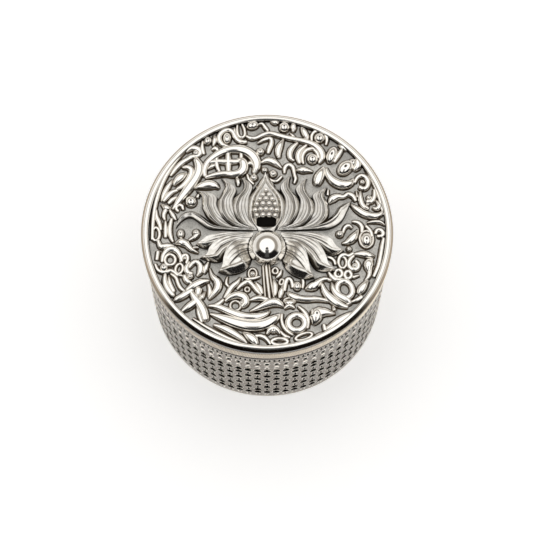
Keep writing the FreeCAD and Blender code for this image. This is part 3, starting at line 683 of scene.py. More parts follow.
# Closed rings: x, y, half width, half length, half thickness of the wire, turn in degrees.
LOOPS = [
    (-31.7, -0.9, 1.15, 2.1, 0.45, 0), (-27.5, -8.6, 1.6, 1.7, 0.45, 0),
    (-24.9, -11.3, 1.1, 1.6, 0.42, -15), (21.4, -9.4, 1.2, 1.8, 0.42, 0),
    (20.2, -12.7, 1.1, 1.15, 0.5, 0), (22.9, -13.1, 1.0, 1.15, 0.5, 0), (21.9, -17.4, 2.3, 2.7, 0.75, 25),
    (8.3, -27.2, 2.55, 2.4, 0.85, 0), (3.5, -32.7, 2.4, 1.0, 0.5, 0), (10.3, -31.2, 2.6, 0.95, 0.42, 18),
    (14.7, -31, 1.7, 0.6, 0.35, 24), (2.3, -11.9, 0.8, 0.9, 0.35, 0), (-4.1, -12.7, 1.25, 1.6, 0.32, 0),
    (4.1, -15.2, 0.6, 0.9, 0.35, -20), (-5.6, -17.4, 0.7, 0.7, 0.3, 0), (-8.9, -22.2, 1.6, 1.5, 0.35, 0),
    (28.3, -2.4, 2.1, 2.7, 0.35, 0), (6.2, -20.7, 1.5, 0.8, 0.35, 0),
]


# Finishes


class Signal:
    """A number, colour or vector in a material. Arithmetic on numbers adds Math nodes."""

    def __init__(self, socket):
        self.socket = socket

    def worked(self, operation, first, second):
        node = self.socket.id_data.nodes.new("ShaderNodeMath")
        node.operation = operation
        for entry, value in zip(node.inputs, (first, second)):
            feed(entry, value)
        return Signal(node.outputs[0])

    def __add__(self, other):
        return self.worked("ADD", self, other)

    def __radd__(self, other):
        return self.worked("ADD", other, self)

    def __sub__(self, other):
        return self.worked("SUBTRACT", self, other)

    def __rsub__(self, other):
        return self.worked("SUBTRACT", other, self)

    def __mul__(self, other):
        return self.worked("MULTIPLY", self, other)

    def __rmul__(self, other):
        return self.worked("MULTIPLY", other, self)

    def __pow__(self, other):
        return self.worked("POWER", self, other)


def feed(entry, value):
    """Links a signal to a node's socket, or sets the socket to a plain value."""
    if isinstance(value, Signal):
        entry.id_data.links.new(value.socket, entry)
    else:
        entry.default_value = value


class Finish:
    """The nodes of one material or of the surroundings."""

    def __init__(self, tree):
        self.tree = tree

    def node(self, kind, settings=None, inputs=None, output=0):
        made = self.tree.nodes.new(f"ShaderNode{kind}")
        for name, value in (settings or {}).items():
            setattr(made, name, value)
        for name, value in (inputs or {}).items():
            feed(made.inputs[name], value)
        return Signal(made.outputs[output])

    def place(self):
        """The place on the piece, in metres, as a vector."""
        return self.node("TexCoord", output="Object")

    def split(self, vector):
        """A vector's three numbers."""
        made = self.node("SeparateXYZ", inputs={"Vector": vector}).socket.node
        return [Signal(made.outputs[index]) for index in range(3)]

    def ramp(self, value, low, high):
        """0 where the value is below low, 1 where it is above high, and smooth between."""
        inputs = {"Value": value, "From Min": low, "From Max": high}
        return self.node("MapRange", {"interpolation_type": "SMOOTHSTEP"}, inputs)

    def mix(self, share, first, second):
        """From the first colour to the second by a share."""
        return self.node("Mix", {"data_type": "RGBA"}, {0: share, 6: first, 7: second}, output=2)

    def grain(self, size, detail=2.0, place=None):
        """Noise whose lumps are about a size across, in millimetres."""
        inputs = {"Vector": place or self.place(), "Scale": 1 / (size * MM), "Detail": detail}
        return self.node("TexNoise", inputs=inputs)

    def height(self):
        """The height above the floor, in metres."""
        return self.split(self.place())[2]

    def above(self, low, high, height=None):
        """0 below the low height, 1 above the high one, in millimetres."""
        return self.ramp(height or self.height(), low * MM, high * MM)

    def outside(self, low, high):
        """0 within the low radius, 1 outside the high one, in millimetres from the box's axis."""
        across, along, _ = self.split(self.place())
        return self.ramp((across * across + along * along) ** 0.5, low * MM, high * MM)

    def painted_shade_and_tarnish(self):
        """How dark the mesh says each place is painted: painted shade and shadow on the petals, the pod and
        the openwork, a painted highlight where it is low on the openwork, tarnish between the seeds, and
        the dots on the balls.
        """
        return self.node("Attribute", {"attribute_name": "painted_shade_and_tarnish"}, output="Fac")

    def bump(self, value, depth, strength):
        """A relief as deep as the depth, in millimetres."""
        inputs = {"Height": value, "Distance": depth * MM, "Strength": strength}
        return self.node("Bump", inputs=inputs)

    def scratches(self, size, depth, strength, detail=3.0):
        """Handling marks: fine noise as relief."""
        return self.bump(self.grain(size, detail), depth, strength)


def silver(name, paint):
    """A silver finish: paint is given the nodes and says what the shader's sockets get."""
    material = bpy.data.materials.new(name)
    material.use_nodes = True
    shader = material.node_tree.nodes["Principled BSDF"]
    shader.inputs["Metallic"].default_value = 1.0
    for socket, value in paint(Finish(material.node_tree)).items():
        feed(shader.inputs[socket], value)
    return material


BRIGHT = (0.93, 0.90, 0.85, 1)
HANDLED = (0.88, 0.865, 0.83, 1)
WARM = (0.80, 0.765, 0.70, 1)
# Painted shade: the tan of the strands' sides and of the bead's outer bevel.
SIDE_SHADE_TAN = (0.38, 0.315, 0.24, 1)
# Tarnish and painted shade: at the feet of the relief, inside the bead, and in the petals' lines, hollows
# and edges.
TARNISH_AND_PAINTED_SHADE = (0.04, 0.03, 0.021, 1)
# Painted black: painted shade in and behind the openings, under the ball and under the milled strip, the
# painted reflection of the dark low front on the bead's bevel, and the dots on the balls and the pod's
# front.
PAINTED_BLACK = (0.012, 0.011, 0.01, 1)
PUNCHED = (0.17, 0.16, 0.15, 1)
# Two tones of a finish: lighter and darker patches, or the heights and what lies lower. The openwork's two
# are a painted highlight for its lips and painted shade for its flats.
PETAL_TONES = ((0.86, 0.84, 0.80, 1), (0.70, 0.67, 0.62, 1))
BED_TONES = ((0.03, 0.022, 0.016, 1), (0.11, 0.084, 0.058, 1))
PLATE_TONES = ((0.42, 0.41, 0.385, 1), (0.64, 0.625, 0.59, 1))
TOOTH_TONES = ((0.80, 0.72, 0.60, 1), (0.15, 0.11, 0.07, 1))
OPENWORK_HIGHLIGHT_AND_SHADE_TONES = ((0.95, 0.90, 0.83, 1), (0.20, 0.17, 0.13, 1))
LINER_TONES = ((0.80, 0.785, 0.75, 1), (0.62, 0.60, 0.56, 1))
SATIN_TONES = ((0.74, 0.71, 0.65, 1), (0.56, 0.53, 0.47, 1))

# How much the noise moves the line where the tarnish and painted shade at the relief's feet begin, in
# metres.
FOOT_TARNISH_AND_SHADE_SWAY = 0.0002
# How high the painted shadow under the milled strip begins.
SHADOW_LINE = 45.2
# How far apart the punch marks of the lid's plate are.
PUNCH_PITCH = 0.42


def polished(nodes):
    """Bright silver with faint handling marks."""
    haze = nodes.grain(3.0, 4.0)
    return {
        "Base Color": nodes.mix(nodes.ramp(haze, 0.35, 0.75), BRIGHT, HANDLED),
        "Roughness": 0.07 + haze * 0.07,
        "Normal": nodes.scratches(0.35, 0.004, 0.4),
    }


def rimmed(nodes):
    """The bead: a polished crest, a bevel in tan painted shade, brown tarnish and painted shade at its
    inner foot, and the bevel's lower part painted black as the dark reflection there.
    """
    sockets = polished(nodes)
    inside = 1 - nodes.outside(RIM_RADIUS - 2.25, RIM_RADIUS - 2.0)
    bevel = nodes.outside(RIM_RADIUS - 0.75, RIM_RADIUS - 0.6)
    # The bevel's lower part takes a painted reflection of the dark low in front.
    below = bevel * (1 - nodes.above(GROUND + 0.35, GROUND + 0.55))
    colour = nodes.mix(inside, nodes.mix(bevel, sockets["Base Color"], SIDE_SHADE_TAN), TARNISH_AND_PAINTED_SHADE)
    sockets["Base Color"] = nodes.mix(below, colour, PAINTED_BLACK)
    return sockets


def ball(nodes):
    """The boss: polished, with painted shade round its foot."""
    sockets = polished(nodes)
    # Painted shade under the ball.
    foot = 1 - nodes.above(GROUND + 0.3, GROUND + 0.75)
    sockets["Base Color"] = nodes.mix(foot, sockets["Base Color"], PAINTED_BLACK)
    sockets["Roughness"] = sockets["Roughness"] + foot * 0.3
    return sockets


def chased(nodes):
    """The scrolls: bright heights, tan painted shade on their sides, brown tarnish and painted shade at
    their feet and where the mesh marks it, and black where the mesh marks more.
    """
    haze = nodes.grain(2.0, 4.0)
    height = nodes.height() + haze * FOOT_TARNISH_AND_SHADE_SWAY
    # Painted shade on the sides, and tarnish with painted shade at the feet.
    side = 1 - nodes.above(GROUND + 0.45, GROUND + 1.05, height)
    low = 1 - nodes.above(GROUND + 0.1, GROUND + 0.55, height)
    painted_shade_and_tarnish = nodes.painted_shade_and_tarnish()
    darkening = nodes.ramp(low + painted_shade_and_tarnish, 0.1, 1.0)
    tone = nodes.mix(darkening, nodes.mix(side, BRIGHT, SIDE_SHADE_TAN), TARNISH_AND_PAINTED_SHADE)
    return {
        "Base Color": nodes.mix(nodes.ramp(painted_shade_and_tarnish, 1.1, 1.5), tone, PAINTED_BLACK),
        "Roughness": 0.09 + haze * 0.1 + darkening * 0.25,
        "Normal": nodes.scratches(0.3, 0.006, 0.5),
    }


def petalled(nodes):
    """The petals: silver duller than the balls, with tarnish and painted shade in their chased lines and at
    their feet, painted shade in their hollows and painted shadow round their edges.
    """
    haze = nodes.grain(2.0, 4.0)
    low = 1 - nodes.above(GROUND + 0.1, GROUND + 0.5, nodes.height() + haze * FOOT_TARNISH_AND_SHADE_SWAY)
    darkening = nodes.ramp(low + nodes.painted_shade_and_tarnish(), 0.1, 1.0)
    tone = nodes.mix(nodes.ramp(haze, 0.3, 0.7), *PETAL_TONES)
    return {
        "Base Color": nodes.mix(darkening, tone, TARNISH_AND_PAINTED_SHADE),
        "Roughness": 0.13 + haze * 0.12 + darkening * 0.25,
        "Normal": nodes.scratches(0.3, 0.006, 0.5),
    }


def bedded(nodes):
    """The dark line of tarnish and painted contact shade where a strand rises from the ground."""
    haze = nodes.grain(1.2, 3.0)
    return {
        "Base Color": nodes.mix(nodes.ramp(haze, 0.35, 0.65), *BED_TONES),
        "Roughness": 0.4 + haze * 0.2,
        "Normal": nodes.scratches(0.4, 0.02, 0.6, 2.0),
    }


def stippled(nodes):
    """The lid's plate: a matt ground of fine punch marks, darker in the marks, and plain inside the lid."""
    place = nodes.place()
    marks = nodes.node("TexVoronoi", {"feature": "F1"}, {"Vector": place, "Scale": 1 / (PUNCH_PITCH * MM)})
    patches = nodes.grain(3.5, 3.0, place)
    top = nodes.above(GROUND - 0.3, GROUND - 0.1)
    pit = 1 - nodes.ramp(marks, 0.1, 0.55)
    shade = nodes.mix(nodes.ramp(patches, 0.3, 0.7), *PLATE_TONES)
    return {
        "Base Color": nodes.mix(top, WARM, nodes.mix(pit * 0.5, shade, PUNCHED)),
        "Roughness": 0.3 + top * 0.22,
        "Normal": nodes.bump(marks * top, 0.07, 0.8),
    }


def milled(nodes):
    """The rim's strip: tan on the teeth and brown between them."""
    valley = 1 - nodes.outside(RIM_RADIUS - 0.2, RIM_RADIUS - 0.01)
    darkening = nodes.ramp(valley + nodes.grain(2.5, 3.0) * 0.3, 0.2, 1.1)
    return {
        "Base Color": nodes.mix(darkening, *TOOTH_TONES),
        "Roughness": 0.2 + darkening * 0.25,
        "Normal": nodes.scratches(0.3, 0.01, 0.5, 2.0),
    }


def pierced(nodes):
    """The drum's openwork and the lid's punched wall: a painted highlight on the lips, painted shade on the
    flats, painted black shade in the openings and a painted shadow under the milled strip.
    """
    shade = nodes.painted_shade_and_tarnish()
    haze = nodes.grain(0.9, 4.0)
    tone = nodes.mix(nodes.ramp(shade + (haze - 0.5) * 0.6, 0.0, 0.32), *OPENWORK_HIGHLIGHT_AND_SHADE_TONES)
    # The painted shadow under the milled strip.
    outside = nodes.outside(SKIRT_RADIUS - 0.4, SKIRT_RADIUS - 0.2)
    line = outside * nodes.above(SHADOW_LINE, SHADOW_LINE + 0.15)
    black = nodes.ramp(shade + line, 0.6, 0.9)
    return {
        "Base Color": nodes.mix(black, tone, PAINTED_BLACK),
        "Roughness": 0.18 + haze * 0.16 + black * 0.3,
        "Normal": nodes.scratches(0.7, 0.06, 0.8),
    }


def lining(nodes):
    """The liner: painted black behind the openwork for the shade seen through the openings, plain silver
    inside and on the neck.
    """
    outside = nodes.outside(LINER_RADIUS - 0.4, LINER_RADIUS - 0.2)
    below = 1 - nodes.above(WALL_TOP - 0.3, WALL_TOP)
    haze = nodes.grain(4.0, 4.0)
    tone = nodes.mix(nodes.ramp(haze, 0.3, 0.7), *LINER_TONES)
    return {
        "Base Color": nodes.mix(outside * below, tone, PAINTED_BLACK),
        "Roughness": 0.25 + haze * 0.2,
        "Normal": nodes.scratches(0.6, 0.01, 0.5),
    }


def satin(nodes):
    """Plain silver, dulled by handling."""
    haze = nodes.grain(3.0, 4.0)
    return {
        "Base Color": nodes.mix(nodes.ramp(haze, 0.3, 0.7), *SATIN_TONES),
        "Roughness": 0.22 + haze * 0.22,
        "Normal": nodes.scratches(0.4, 0.01, 0.5),
    }


RIMMED = silver("rim_silver", rimmed)
BALL = silver("ball_silver", ball)
PETAL = silver("petal_silver", petalled)
CHASED = silver("chased_silver", chased)
BEDDED = silver("bedded_silver", bedded)
STIPPLED = silver("stippled_silver", stippled)
MILLED = silver("milled_silver", milled)
PIERCED = silver("pierced_silver", pierced)
LINING = silver("liner_silver", lining)
SATIN = silver("satin_silver", satin)


# The box's pieces


# The wire's section: how far each corner lies outside the rim's radius and above the ground.
BEAD_SECTION = [
    (-2.4, -0.2), (-2.35, 0.3), (-2.25, 0.75), (-2.1, 1.1), (-1.9, 1.3), (-1.6, 1.42), (-1.3, 1.45),
    (-1.05, 1.4), (-0.85, 1.28), (-0.7, 1.12), (-0.05, 0.4), (-0.1, 0.1), (-0.14, -1.2), (-0.5, -1.2),
    (-0.5, -0.2),
]
BEAD_STEPS = 256


def make_bead():
    """The polished wire round the lid's top: a rounded crest, and a bevel out to the band."""
    bm = turned([(RIM_RADIUS + across, GROUND + up) for across, up in BEAD_SECTION], BEAD_STEPS)
    finished(bm, "bead", "lid", RIMMED, ["rim_bead"])


# The milled strip's edges, its teeth, how many teeth each one slants over, how deep they are cut and
# the share of their length at each end where they rise.
BAND_HIGH = BAND_TOP - 1.6
BAND_LOW = BAND_BOTTOM - 2.0
BAND_TEETH = 396
BAND_SLANT = 4.0
TOOTH_DEPTH = 0.22
TOOTH_END = 0.12
# How far the strip reaches into the lid's wall.
BAND_INSET = 0.02


def make_band():
    """The milled strip: slanting teeth all the way round."""
    bm = bmesh.new()
    share = math.tau / BAND_TEETH
    rows = [0.0, TOOTH_END, 0.5, 1 - TOOTH_END, 1.0]
    columns = []
    for side in (0, 0.5, 1.0):
        column = []
        for row in rows:
            ridge = ease(0, TOOTH_END, min(row, 1 - row)) if side == 0.5 else 0.0
            radius = RIM_RADIUS - TOOTH_DEPTH * (1 - ridge)
            angle = (side + BAND_SLANT * row) * share
            height = BAND_LOW + (BAND_HIGH - BAND_LOW) * row
            column.append(bm.verts.new((radius * math.cos(angle), radius * math.sin(angle), height)))
        columns.append(column)
    for left, right in zip(columns, columns[1:]):
        for index in range(len(rows) - 1):
            bm.faces.new((left[index], right[index], right[index + 1], left[index + 1]))
    repeated_round(bm, BAND_TEETH)
    rims = [edge for edge in bm.edges if edge.is_boundary]
    lip = bmesh.ops.extrude_edge_only(bm, edges=rims)["geom"]
    for vert in (item for item in lip if isinstance(item, bmesh.types.BMVert)):
        inward = (SKIRT_RADIUS - BAND_INSET) / vert.co.xy.length
        vert.co.x *= inward
        vert.co.y *= inward
    bmesh.ops.bridge_loops(bm, edges=[edge for edge in bm.edges if edge.is_boundary])
    bmesh.ops.recalc_face_normals(bm, faces=bm.faces)
    finished(bm, "milled_band", "lid", MILLED, ["rim_band"], crease=30)


# An opening's eight points, as shares of its half width and half height: a rounded drop.
OPENING_POINTS = [
    (-1.0, -0.08), (-0.72, 0.6), (0, 1.0), (0.72, 0.6),
    (1.0, -0.08), (0.78, -0.66), (0, -0.96), (-0.78, -0.66),
]
OUTLINE_POINTS = [(-1, 0), (-1, 1), (0, 1), (1, 1), (1, 0), (1, -1), (0, -1), (-1, -1)]
# How dark the openwork's flats are painted, as painted shade.
FLAT_SHADE = 0.5
# A lip is rings: how far each lies outside the opening, its share of the rise, and how dark it is painted,
# low for a painted highlight and high for painted shade.
RAISED_LIP = [(0.16, 0.0, 0.3), (0.08, 1.0, 0.0), (0.02, 0.9, 0.05), (0.0, 0.3, 0.9)]
FLAT_LIP = [(0.16, 0.0, 0.1), (0.0, -0.3, 0.9)]
SOFT_LIP = [(0.35, 0.2, 0.4), (0.15, 0.8, 0.1)]
# Openings and marks: half width, half height and how far the middle lies above the panel's, the rise,
# the lip, the depth, and whether there is a floor.
END_OPENING = ((1.12, 1.52, 0.0), 0.1, RAISED_LIP, SHEET, False)
FIELD_OPENING = ((1.18, 1.5, 0.0), 0.1, RAISED_LIP, SHEET, False)
SLIT_OPENING = ((0.36, 1.35, 0.0), 0.14, RAISED_LIP, SHEET, False)
FOOT_MARK = ((0.3, 0.35, 0.2), 0.1, FLAT_LIP, 0.25, True)
SHOULDER_MARK = ((0.3, 0.3, 0.1), 0.1, FLAT_LIP, 0.25, True)
LONG_DOT = ((0.34, 1.05, 0.0), 0.04, FLAT_LIP, 0.4, True)
SMALL_DOT = ((0.2, 0.5, 0.0), 0.02, FLAT_LIP, 0.2, True)
WIDE_DOT = ((0.6, 1.0, 0.0), 0.04, FLAT_LIP, 0.4, True)
RIDGE_MARK = ((0.6, 0.2, 0.0), 0.14, SOFT_LIP, -0.1, True)
SEAM_MARK = ((0.6, 0.4, 0.0), 0.14, SOFT_LIP, -0.1, True)
# The radius of each skin and of its back.
WALL_SKIN = (WALL_RADIUS, WALL_RADIUS - SHEET)
SKIRT_SKIN = (SKIRT_RADIUS, 34.8)
# The heights where the rows of the lid's wall meet, from the seam up.
SKIRT_LEVELS = (38.3, 41.0, 42.1, 44.8)


def add_cell(bm, skin, middle, pitch, low, high, mark):
    """One panel of a skin and of its back, with a drop-shaped opening or mark in it.

    The panel is flat and one wedge wide. An opening goes through to the back; a mark has a floor.
    """
    painted_shade_and_tarnish = bm.verts.layers.float["painted_shade_and_tarnish"]
    radius, back_radius = skin
    (half, tall, offset), rise, lip, depth, floor = mark
    centre = (low + high) / 2 + offset
    flat = radius * math.cos(pitch / 2)
    side = radius * math.sin(pitch / 2)
    outline = []
    for across, up in OUTLINE_POINTS:
        outline.append((flat, across * side, centre if up == 0 else (high if up > 0 else low)))
    rings = [outline]
    for grow, stand, _ in lip:
        ring = []
        for across, up in OPENING_POINTS:
            ring.append((flat + rise * stand, across * (half + grow), centre + up * (tall + grow)))
        rings.append(ring)
    rings.append([(radius - depth, y, z) for _, y, z in rings[-1]])
    share = back_radius / radius
    rings.append([(x * share, y * share, z) for x, y, z in outline])
    # Each ring's painted darkness: shade on the flat, highlight and shade on the lip, black shade inside an
    # opening or on a sunk mark's floor.
    shades = [FLAT_SHADE] + [shade for _, _, shade in lip] + [1.0 if depth > 0 else 0.0, FLAT_SHADE]
    spin = Matrix.Rotation(middle, 3, "Z")
    made = []
    for ring, shade in zip(rings, shades):
        made.append([bm.verts.new(spin @ Vector(point)) for point in ring])
        for vert in made[-1]:
            vert[painted_shade_and_tarnish] = shade
    if floor:
        bm.faces.new(made[-2][::-1])
        bm.faces.new(made.pop())
    for outer, inside in zip(made, made[1:]):
        for index in range(8):
            after = (index + 1) % 8
            bm.faces.new((outer[index], inside[index], inside[after], outer[after]))


def make_openwork():
    """The drum's skin: full rows at its ends, staggered openings and slits between, and marks beside."""
    bm = bmesh.new()
    bm.verts.layers.float.new("painted_shade_and_tarnish")
    pitch = math.tau / COLUMNS
    low_edge = FIRST_ROW - ROW_PITCH / 2
    high_edge = low_edge + PIERCED_ROWS * ROW_PITCH
    for column in range(2):
        middle = pitch * column
        for row in range(PIERCED_ROWS):
            low = low_edge + row * ROW_PITCH
            if row == PIERCED_ROWS - 1:
                mark = END_OPENING
            elif row == 0 or (row + column) % 2 == 0:
                mark = FIELD_OPENING
            else:
                mark = SLIT_OPENING
            add_cell(bm, WALL_SKIN, middle, pitch, low, low + ROW_PITCH, mark)
        add_cell(bm, WALL_SKIN, middle, pitch, WALL_BOTTOM, low_edge, FOOT_MARK)
        add_cell(bm, WALL_SKIN, middle, pitch, high_edge, WALL_TOP, SHOULDER_MARK)
    repeated_round(bm, COLUMNS // 2)
    close_skin(bm)
    finished(bm, "openwork", "box", PIERCED, ["body_wall"], crease=60)


def close_skin(bm):
    """Joins a skin to its back along its bottom edge and its top edge."""
    heights = [vert.co.z for vert in bm.verts]
    for level in (min(heights), max(heights)):
        rims = []
        for edge in bm.edges:
            if edge.is_boundary and all(abs(vert.co.z - level) < 1e-3 for vert in edge.verts):
                rims.append(edge)
        bmesh.ops.bridge_loops(bm, edges=rims)
    bmesh.ops.recalc_face_normals(bm, faces=bm.faces)


def split_top(bm, level, half_wedge):
    """Gives a panel's top edge the extra corners that two half panels above it need."""
    top = [edge for edge in bm.edges if all(abs(vert.co.z - level) < 1e-3 for vert in edge.verts)]
    for vert in {vert for edge in top for vert in edge.verts if abs(vert.co.y) < 1e-3}:
        vert.co.x /= math.cos(half_wedge)
    for edge in top:
        made = bmesh.utils.edge_split(edge, edge.verts[0], 0.5)[1]
        made[bm.verts.layers.float["painted_shade_and_tarnish"]] = FLAT_SHADE


def make_skirt():
    """The lid's wall: two rows of punched dots under the band, then wider marks down to the seam."""
    bm = bmesh.new()
    bm.verts.layers.float.new("painted_shade_and_tarnish")
    pitch = math.tau / COLUMNS
    half = pitch / 2
    seam_top, ridge, dots, dots_top = SKIRT_LEVELS
    add_cell(bm, SKIRT_SKIN, 0, pitch, ridge, dots, RIDGE_MARK)
    split_top(bm, dots, half)
    for step in (-0.5, 0.5):
        add_cell(bm, SKIRT_SKIN, half * step, half, dots, dots_top, LONG_DOT)
        add_cell(bm, SKIRT_SKIN, half * step, half, dots_top, SKIRT_TOP, SMALL_DOT)
    add_cell(bm, SKIRT_SKIN, 0, pitch, seam_top, ridge, WIDE_DOT)
    add_cell(bm, SKIRT_SKIN, 0, pitch, SKIRT_BOTTOM, seam_top, SEAM_MARK)
    repeated_round(bm, COLUMNS)
    close_skin(bm)
    finished(bm, "punched_skirt", "lid", PIERCED, ["lid_skirt"], crease=60)


def make_scrolls():
    """The scrolls, leaves, balls and rings round the lotus, and the dark bed that each lies in."""
    for name, spread, material in (("scrolls", 0.0, CHASED), ("scroll_beds", BED_SPREAD, BEDDED)):
        bm = bmesh.new()
        bm.verts.layers.float.new("painted_shade_and_tarnish")
        for strand in STRANDS + (STEM_RIBS if spread else []):
            add_stroke(bm, strand, spread=spread)
        for drop in DROPS:
            add_drop(bm, *drop, spread=spread)
        for loop in LOOPS:
            add_loop(bm, *loop, spread=spread)
        bmesh.ops.recalc_face_normals(bm, faces=bm.faces)
        finished(bm, name, "lid", material)


def make_stem():
    """The stem's ribs, side by side."""
    bm = bmesh.new()
    for rib in STEM_RIBS:
        add_stroke(bm, rib)
    bmesh.ops.recalc_face_normals(bm, faces=bm.faces)
    finished(bm, "stem_ribs", "lid", CHASED, ["lotus_stem"])


def make_petals():
    """All fifteen petals, each in the place of its own solid."""
    for name, (*form, stations) in PETALS.items():
        left = [station[:2] for station in stations]
        right = [station[2:] for station in stations]
        bm = petal(left, right, *form)
        finished(bm, f"{name}_chased", "lid", PETAL, [name])


# The pod: its height and its edge's, its half width at each place from front to back, and how far it
# lies to the left.
POD_RISE = 3.0
POD_FOOT = 0.45
POD_EDGE = [(2.9, 1.0), (3.1, 3.2), (3.9, 5.6), (3.5, 8.2), (2.0, 10.6), (0.2, 12.4)]
POD_SHIFT = 0.2
# Its front's blackening and the tarnish between its seeds, as the finish counts them.
FRONT_SHADE = 2.0
POD_SHADE = 0.75
# The seeds: their radius, and rows of the place along the pod, the half spread and the count.
SEED_RADIUS = 0.8
SEED_ROWS = [(4.0, 2.6, 4), (5.7, 3.0, 5), (7.4, 2.6, 4), (8.9, 1.8, 3), (10.3, 0.9, 2), (11.9, 0, 1)]
SEED_SHIFT = 0.3
SEED_STAND = 0.1
# How far the outermost seeds and the last one lie below the middle ones.
SEED_SIDE_FALL = 0.9
SEED_BACK_FALL = 1.1


def make_pod():
    """The seed pod: a flat slope towards the boss, and a mound of seeds behind it."""
    bm = bmesh.new()
    painted_shade_and_tarnish = bm.verts.layers.float.new("painted_shade_and_tarnish")
    bmesh.ops.create_grid(bm, x_segments=44, y_segments=36, size=0.5)
    for vert in bm.verts:
        across = vert.co.y * 2
        edge = smooth_line(POD_EDGE, vert.co.x + 0.5)
        dome = max(1 - abs(across) ** (2.6 + 4 * ease(4.5, 3.0, edge.y)), 0.0) ** 0.5
        body = 1 - 0.55 * ease(0.7, 1.0, vert.co.x + 0.5)
        mound = POD_FOOT + (POD_RISE - POD_FOOT) * dome * body
        slope = POD_FOOT + edge.y - POD_EDGE[0][1]
        front = ease(1.1, 1.4, edge.y) * ease(3.7, 3.4, edge.y + 0.7 * across ** 4)
        front *= ease(1.0, 0.85, abs(across))
        vert[painted_shade_and_tarnish] = max(POD_SHADE * ease(3.4, 3.9, edge.y), FRONT_SHADE * front)
        vert.co = (edge.x * across - POD_SHIFT, edge.y, GROUND + min(mound, slope))
    close_under(bm)
    for along, spread, count in SEED_ROWS:
        for index in range(count):
            across = spread * (index / (count - 1) - 0.5) * 2 if count > 1 else 0.0
            seed = bmesh.ops.create_uvsphere(bm, u_segments=14, v_segments=9, radius=SEED_RADIUS)["verts"]
            fall = SEED_SIDE_FALL * (across / 3.4) ** 2 + SEED_BACK_FALL * ease(8.0, 12.5, along)
            place = Vector((across - SEED_SHIFT, along, GROUND + POD_RISE + SEED_STAND - fall))
            bmesh.ops.translate(bm, vec=place, verts=seed)
            for vert in seed:
                vert[painted_shade_and_tarnish] = 0.0
    finished(bm, "pod_and_seeds", "lid", CHASED, ["seed_pod"])


# The ball is a sphere, and its middle lies this far above the ground.
BALL_RADIUS = BOSS_RADIUS + 0.25
BALL_STAND = 0.6
BALL_RINGS = 40
BALL_STEPS = 128


def make_boss():
    """The polished ball at the lotus's heart: its widest part stands a little above the ground."""
    low = -math.asin(BALL_STAND / BALL_RADIUS)
    profile = [(0, GROUND - SINK), (BALL_RADIUS * math.cos(low), GROUND - SINK)]
    for step in range(BALL_RINGS + 1):
        angle = low + (math.pi / 2 - low) * step / BALL_RINGS
        across = BALL_RADIUS * math.cos(angle) if step < BALL_RINGS else 0
        profile.append((across, GROUND + BALL_STAND + BALL_RADIUS * math.sin(angle)))
    bm = turned(profile, BALL_STEPS)
    bmesh.ops.translate(bm, vec=(0, BOSS_MIDDLE, 0), verts=bm.verts)
    finished(bm, "boss", "lid", BALL, ["lotus_boss"])


def dress_cad_nodes():
    """The CAD pieces that show as they are."""
    for name, material in (
        ("lid_plate", STIPPLED), ("body_liner", LINING), ("base_plate", SATIN), ("foot_ring", SATIN)
    ):
        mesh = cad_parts[name].data
        mesh.materials.clear()
        mesh.materials.append(material)


# Surroundings


# The paper is lit from behind a little, as a light table is.
FLOOR_GLOW = 0.42
FLOOR_SIDE = 2.0
PAPER = (0.93, 0.93, 0.935, 1)
PAPER_ROUGHNESS = 0.9


def make_floor():
    """The white paper that the box stands on."""
    bm = bmesh.new()
    bmesh.ops.create_grid(bm, x_segments=1, y_segments=1, size=FLOOR_SIDE)
    mesh = bpy.data.meshes.new("floor")
    bm.to_mesh(mesh)
    bm.free()
    material = bpy.data.materials.new("paper")
    material.use_nodes = True
    inputs = material.node_tree.nodes["Principled BSDF"].inputs
    inputs["Base Color"].default_value = PAPER
    inputs["Roughness"].default_value = PAPER_ROUGHNESS
    inputs["Emission Color"].default_value = (1, 1, 1, 1)
    inputs["Emission Strength"].default_value = FLOOR_GLOW
    mesh.materials.append(material)
    floor = bpy.data.objects.new("floor", mesh)
    bpy.context.scene.collection.objects.link(floor)


WORLD_STRENGTH = 1.0
TENT_TOP = (1.2, 1.19, 1.17, 1)
TENT_WALL = (0.86, 0.84, 0.81, 1)
TENT_SEAM = (0.34, 0.31, 0.27, 1)
TENT_GAP = (0.01, 0.009, 0.009, 1)
CAMERA_SHADE = (0.07, 0.07, 0.07, 1)
# Where the tent's parts begin and end, in degrees up from the floor.
TOP_EDGE = (38, 47)
SEAM_EDGE = (14, 26)
# The same for its opening and for the camera's shape in it, as shares of straight up.
GAP_FOOT = (0.0, 0.05)
GAP_TOP = (0.64, 0.72)
CAMERA_FOOT = (0.2, 0.3)
CAMERA_TOP = (0.86, 0.92)
# How far forward the opening begins, how wide the camera's shape is, and its lens in degrees.
GAP_FRONT = (0.2, 0.45)
CAMERA_WIDTH = (0.02, 0.05)
LENS_EDGE = (9, 7)


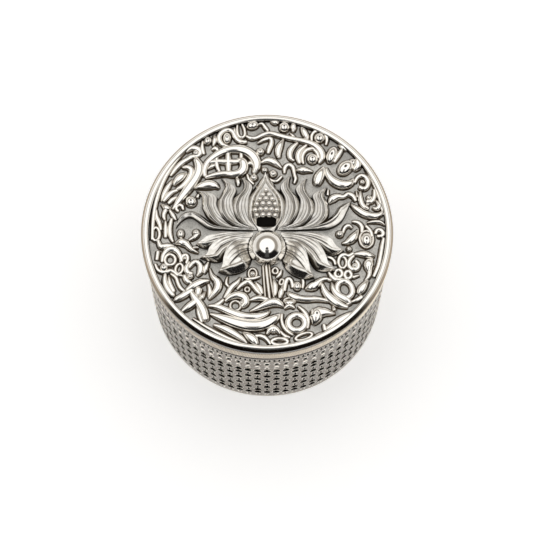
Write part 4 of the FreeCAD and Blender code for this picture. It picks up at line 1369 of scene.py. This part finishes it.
def make_surroundings():
    """A white light tent: a bright top, a dark opening low in front and the camera's dark shape."""
    world = bpy.data.worlds.new("tent")
    bpy.context.scene.world = world
    world.use_nodes = True
    nodes = Finish(world.node_tree)
    direction = nodes.node("TexCoord", output="Generated")
    across, along, up = nodes.split(direction)
    vectors = {0: direction, 1: tuple(towards_camera())}
    towards = nodes.node("VectorMath", {"operation": "DOT_PRODUCT"}, vectors, output="Value")
    walls = nodes.mix(nodes.ramp(up, *map(angle_sine, SEAM_EDGE)), TENT_WALL, TENT_SEAM)
    colour = nodes.mix(nodes.ramp(up, *map(angle_sine, TOP_EDGE)), walls, TENT_TOP)
    front = nodes.ramp(0 - along, *GAP_FRONT)
    gap = nodes.ramp(up, *GAP_FOOT) * (1 - nodes.ramp(up, *GAP_TOP))
    colour = nodes.mix(front * gap, colour, TENT_GAP)
    narrow = 1 - nodes.ramp(across * across, *CAMERA_WIDTH)
    shape = narrow * front * nodes.ramp(up, *CAMERA_FOOT) * (1 - nodes.ramp(up, *CAMERA_TOP))
    colour = nodes.mix(shape, colour, CAMERA_SHADE)
    lens = nodes.ramp(towards, *map(angle_cosine, LENS_EDGE))
    background = world.node_tree.nodes["Background"]
    feed(background.inputs["Color"], nodes.mix(lens, colour, TENT_GAP))
    background.inputs["Strength"].default_value = WORLD_STRENGTH


def angle_cosine(degrees):
    return math.cos(math.radians(degrees))


def angle_sine(degrees):
    return math.sin(math.radians(degrees))


def towards_camera():
    """The direction from the box to the camera."""
    return Vector((0, -math.cos(CAMERA_ELEVATION), math.sin(CAMERA_ELEVATION)))


def make_camera():
    """The photo's camera."""
    data = bpy.data.cameras.new("camera")
    data.sensor_width = SENSOR
    data.lens = SENSOR * FOCAL_PIXELS / PHOTO_SIDE
    data.shift_x = -CENTRE_SHIFT_PIXELS / PHOTO_SIDE
    data.clip_start = CLIP_NEAR
    data.clip_end = CLIP_FAR
    camera = bpy.data.objects.new("camera", data)
    bpy.context.scene.collection.objects.link(camera)
    back = towards_camera()
    camera.location = Vector((0, 0, CAMERA_TARGET_HEIGHT * MM)) + back * CAMERA_DISTANCE * MM
    camera.rotation_mode = "QUATERNION"
    camera.rotation_quaternion = (-back).to_track_quat("-Z", "Y")
    bpy.context.scene.camera = camera


make_camera()
make_floor()
make_surroundings()
bpy.context.scene.view_settings.view_transform = "Standard"
make_bead()
make_band()
make_openwork()
make_skirt()
make_scrolls()
make_stem()
make_petals()
make_pod()
make_boss()
dress_cad_nodes()
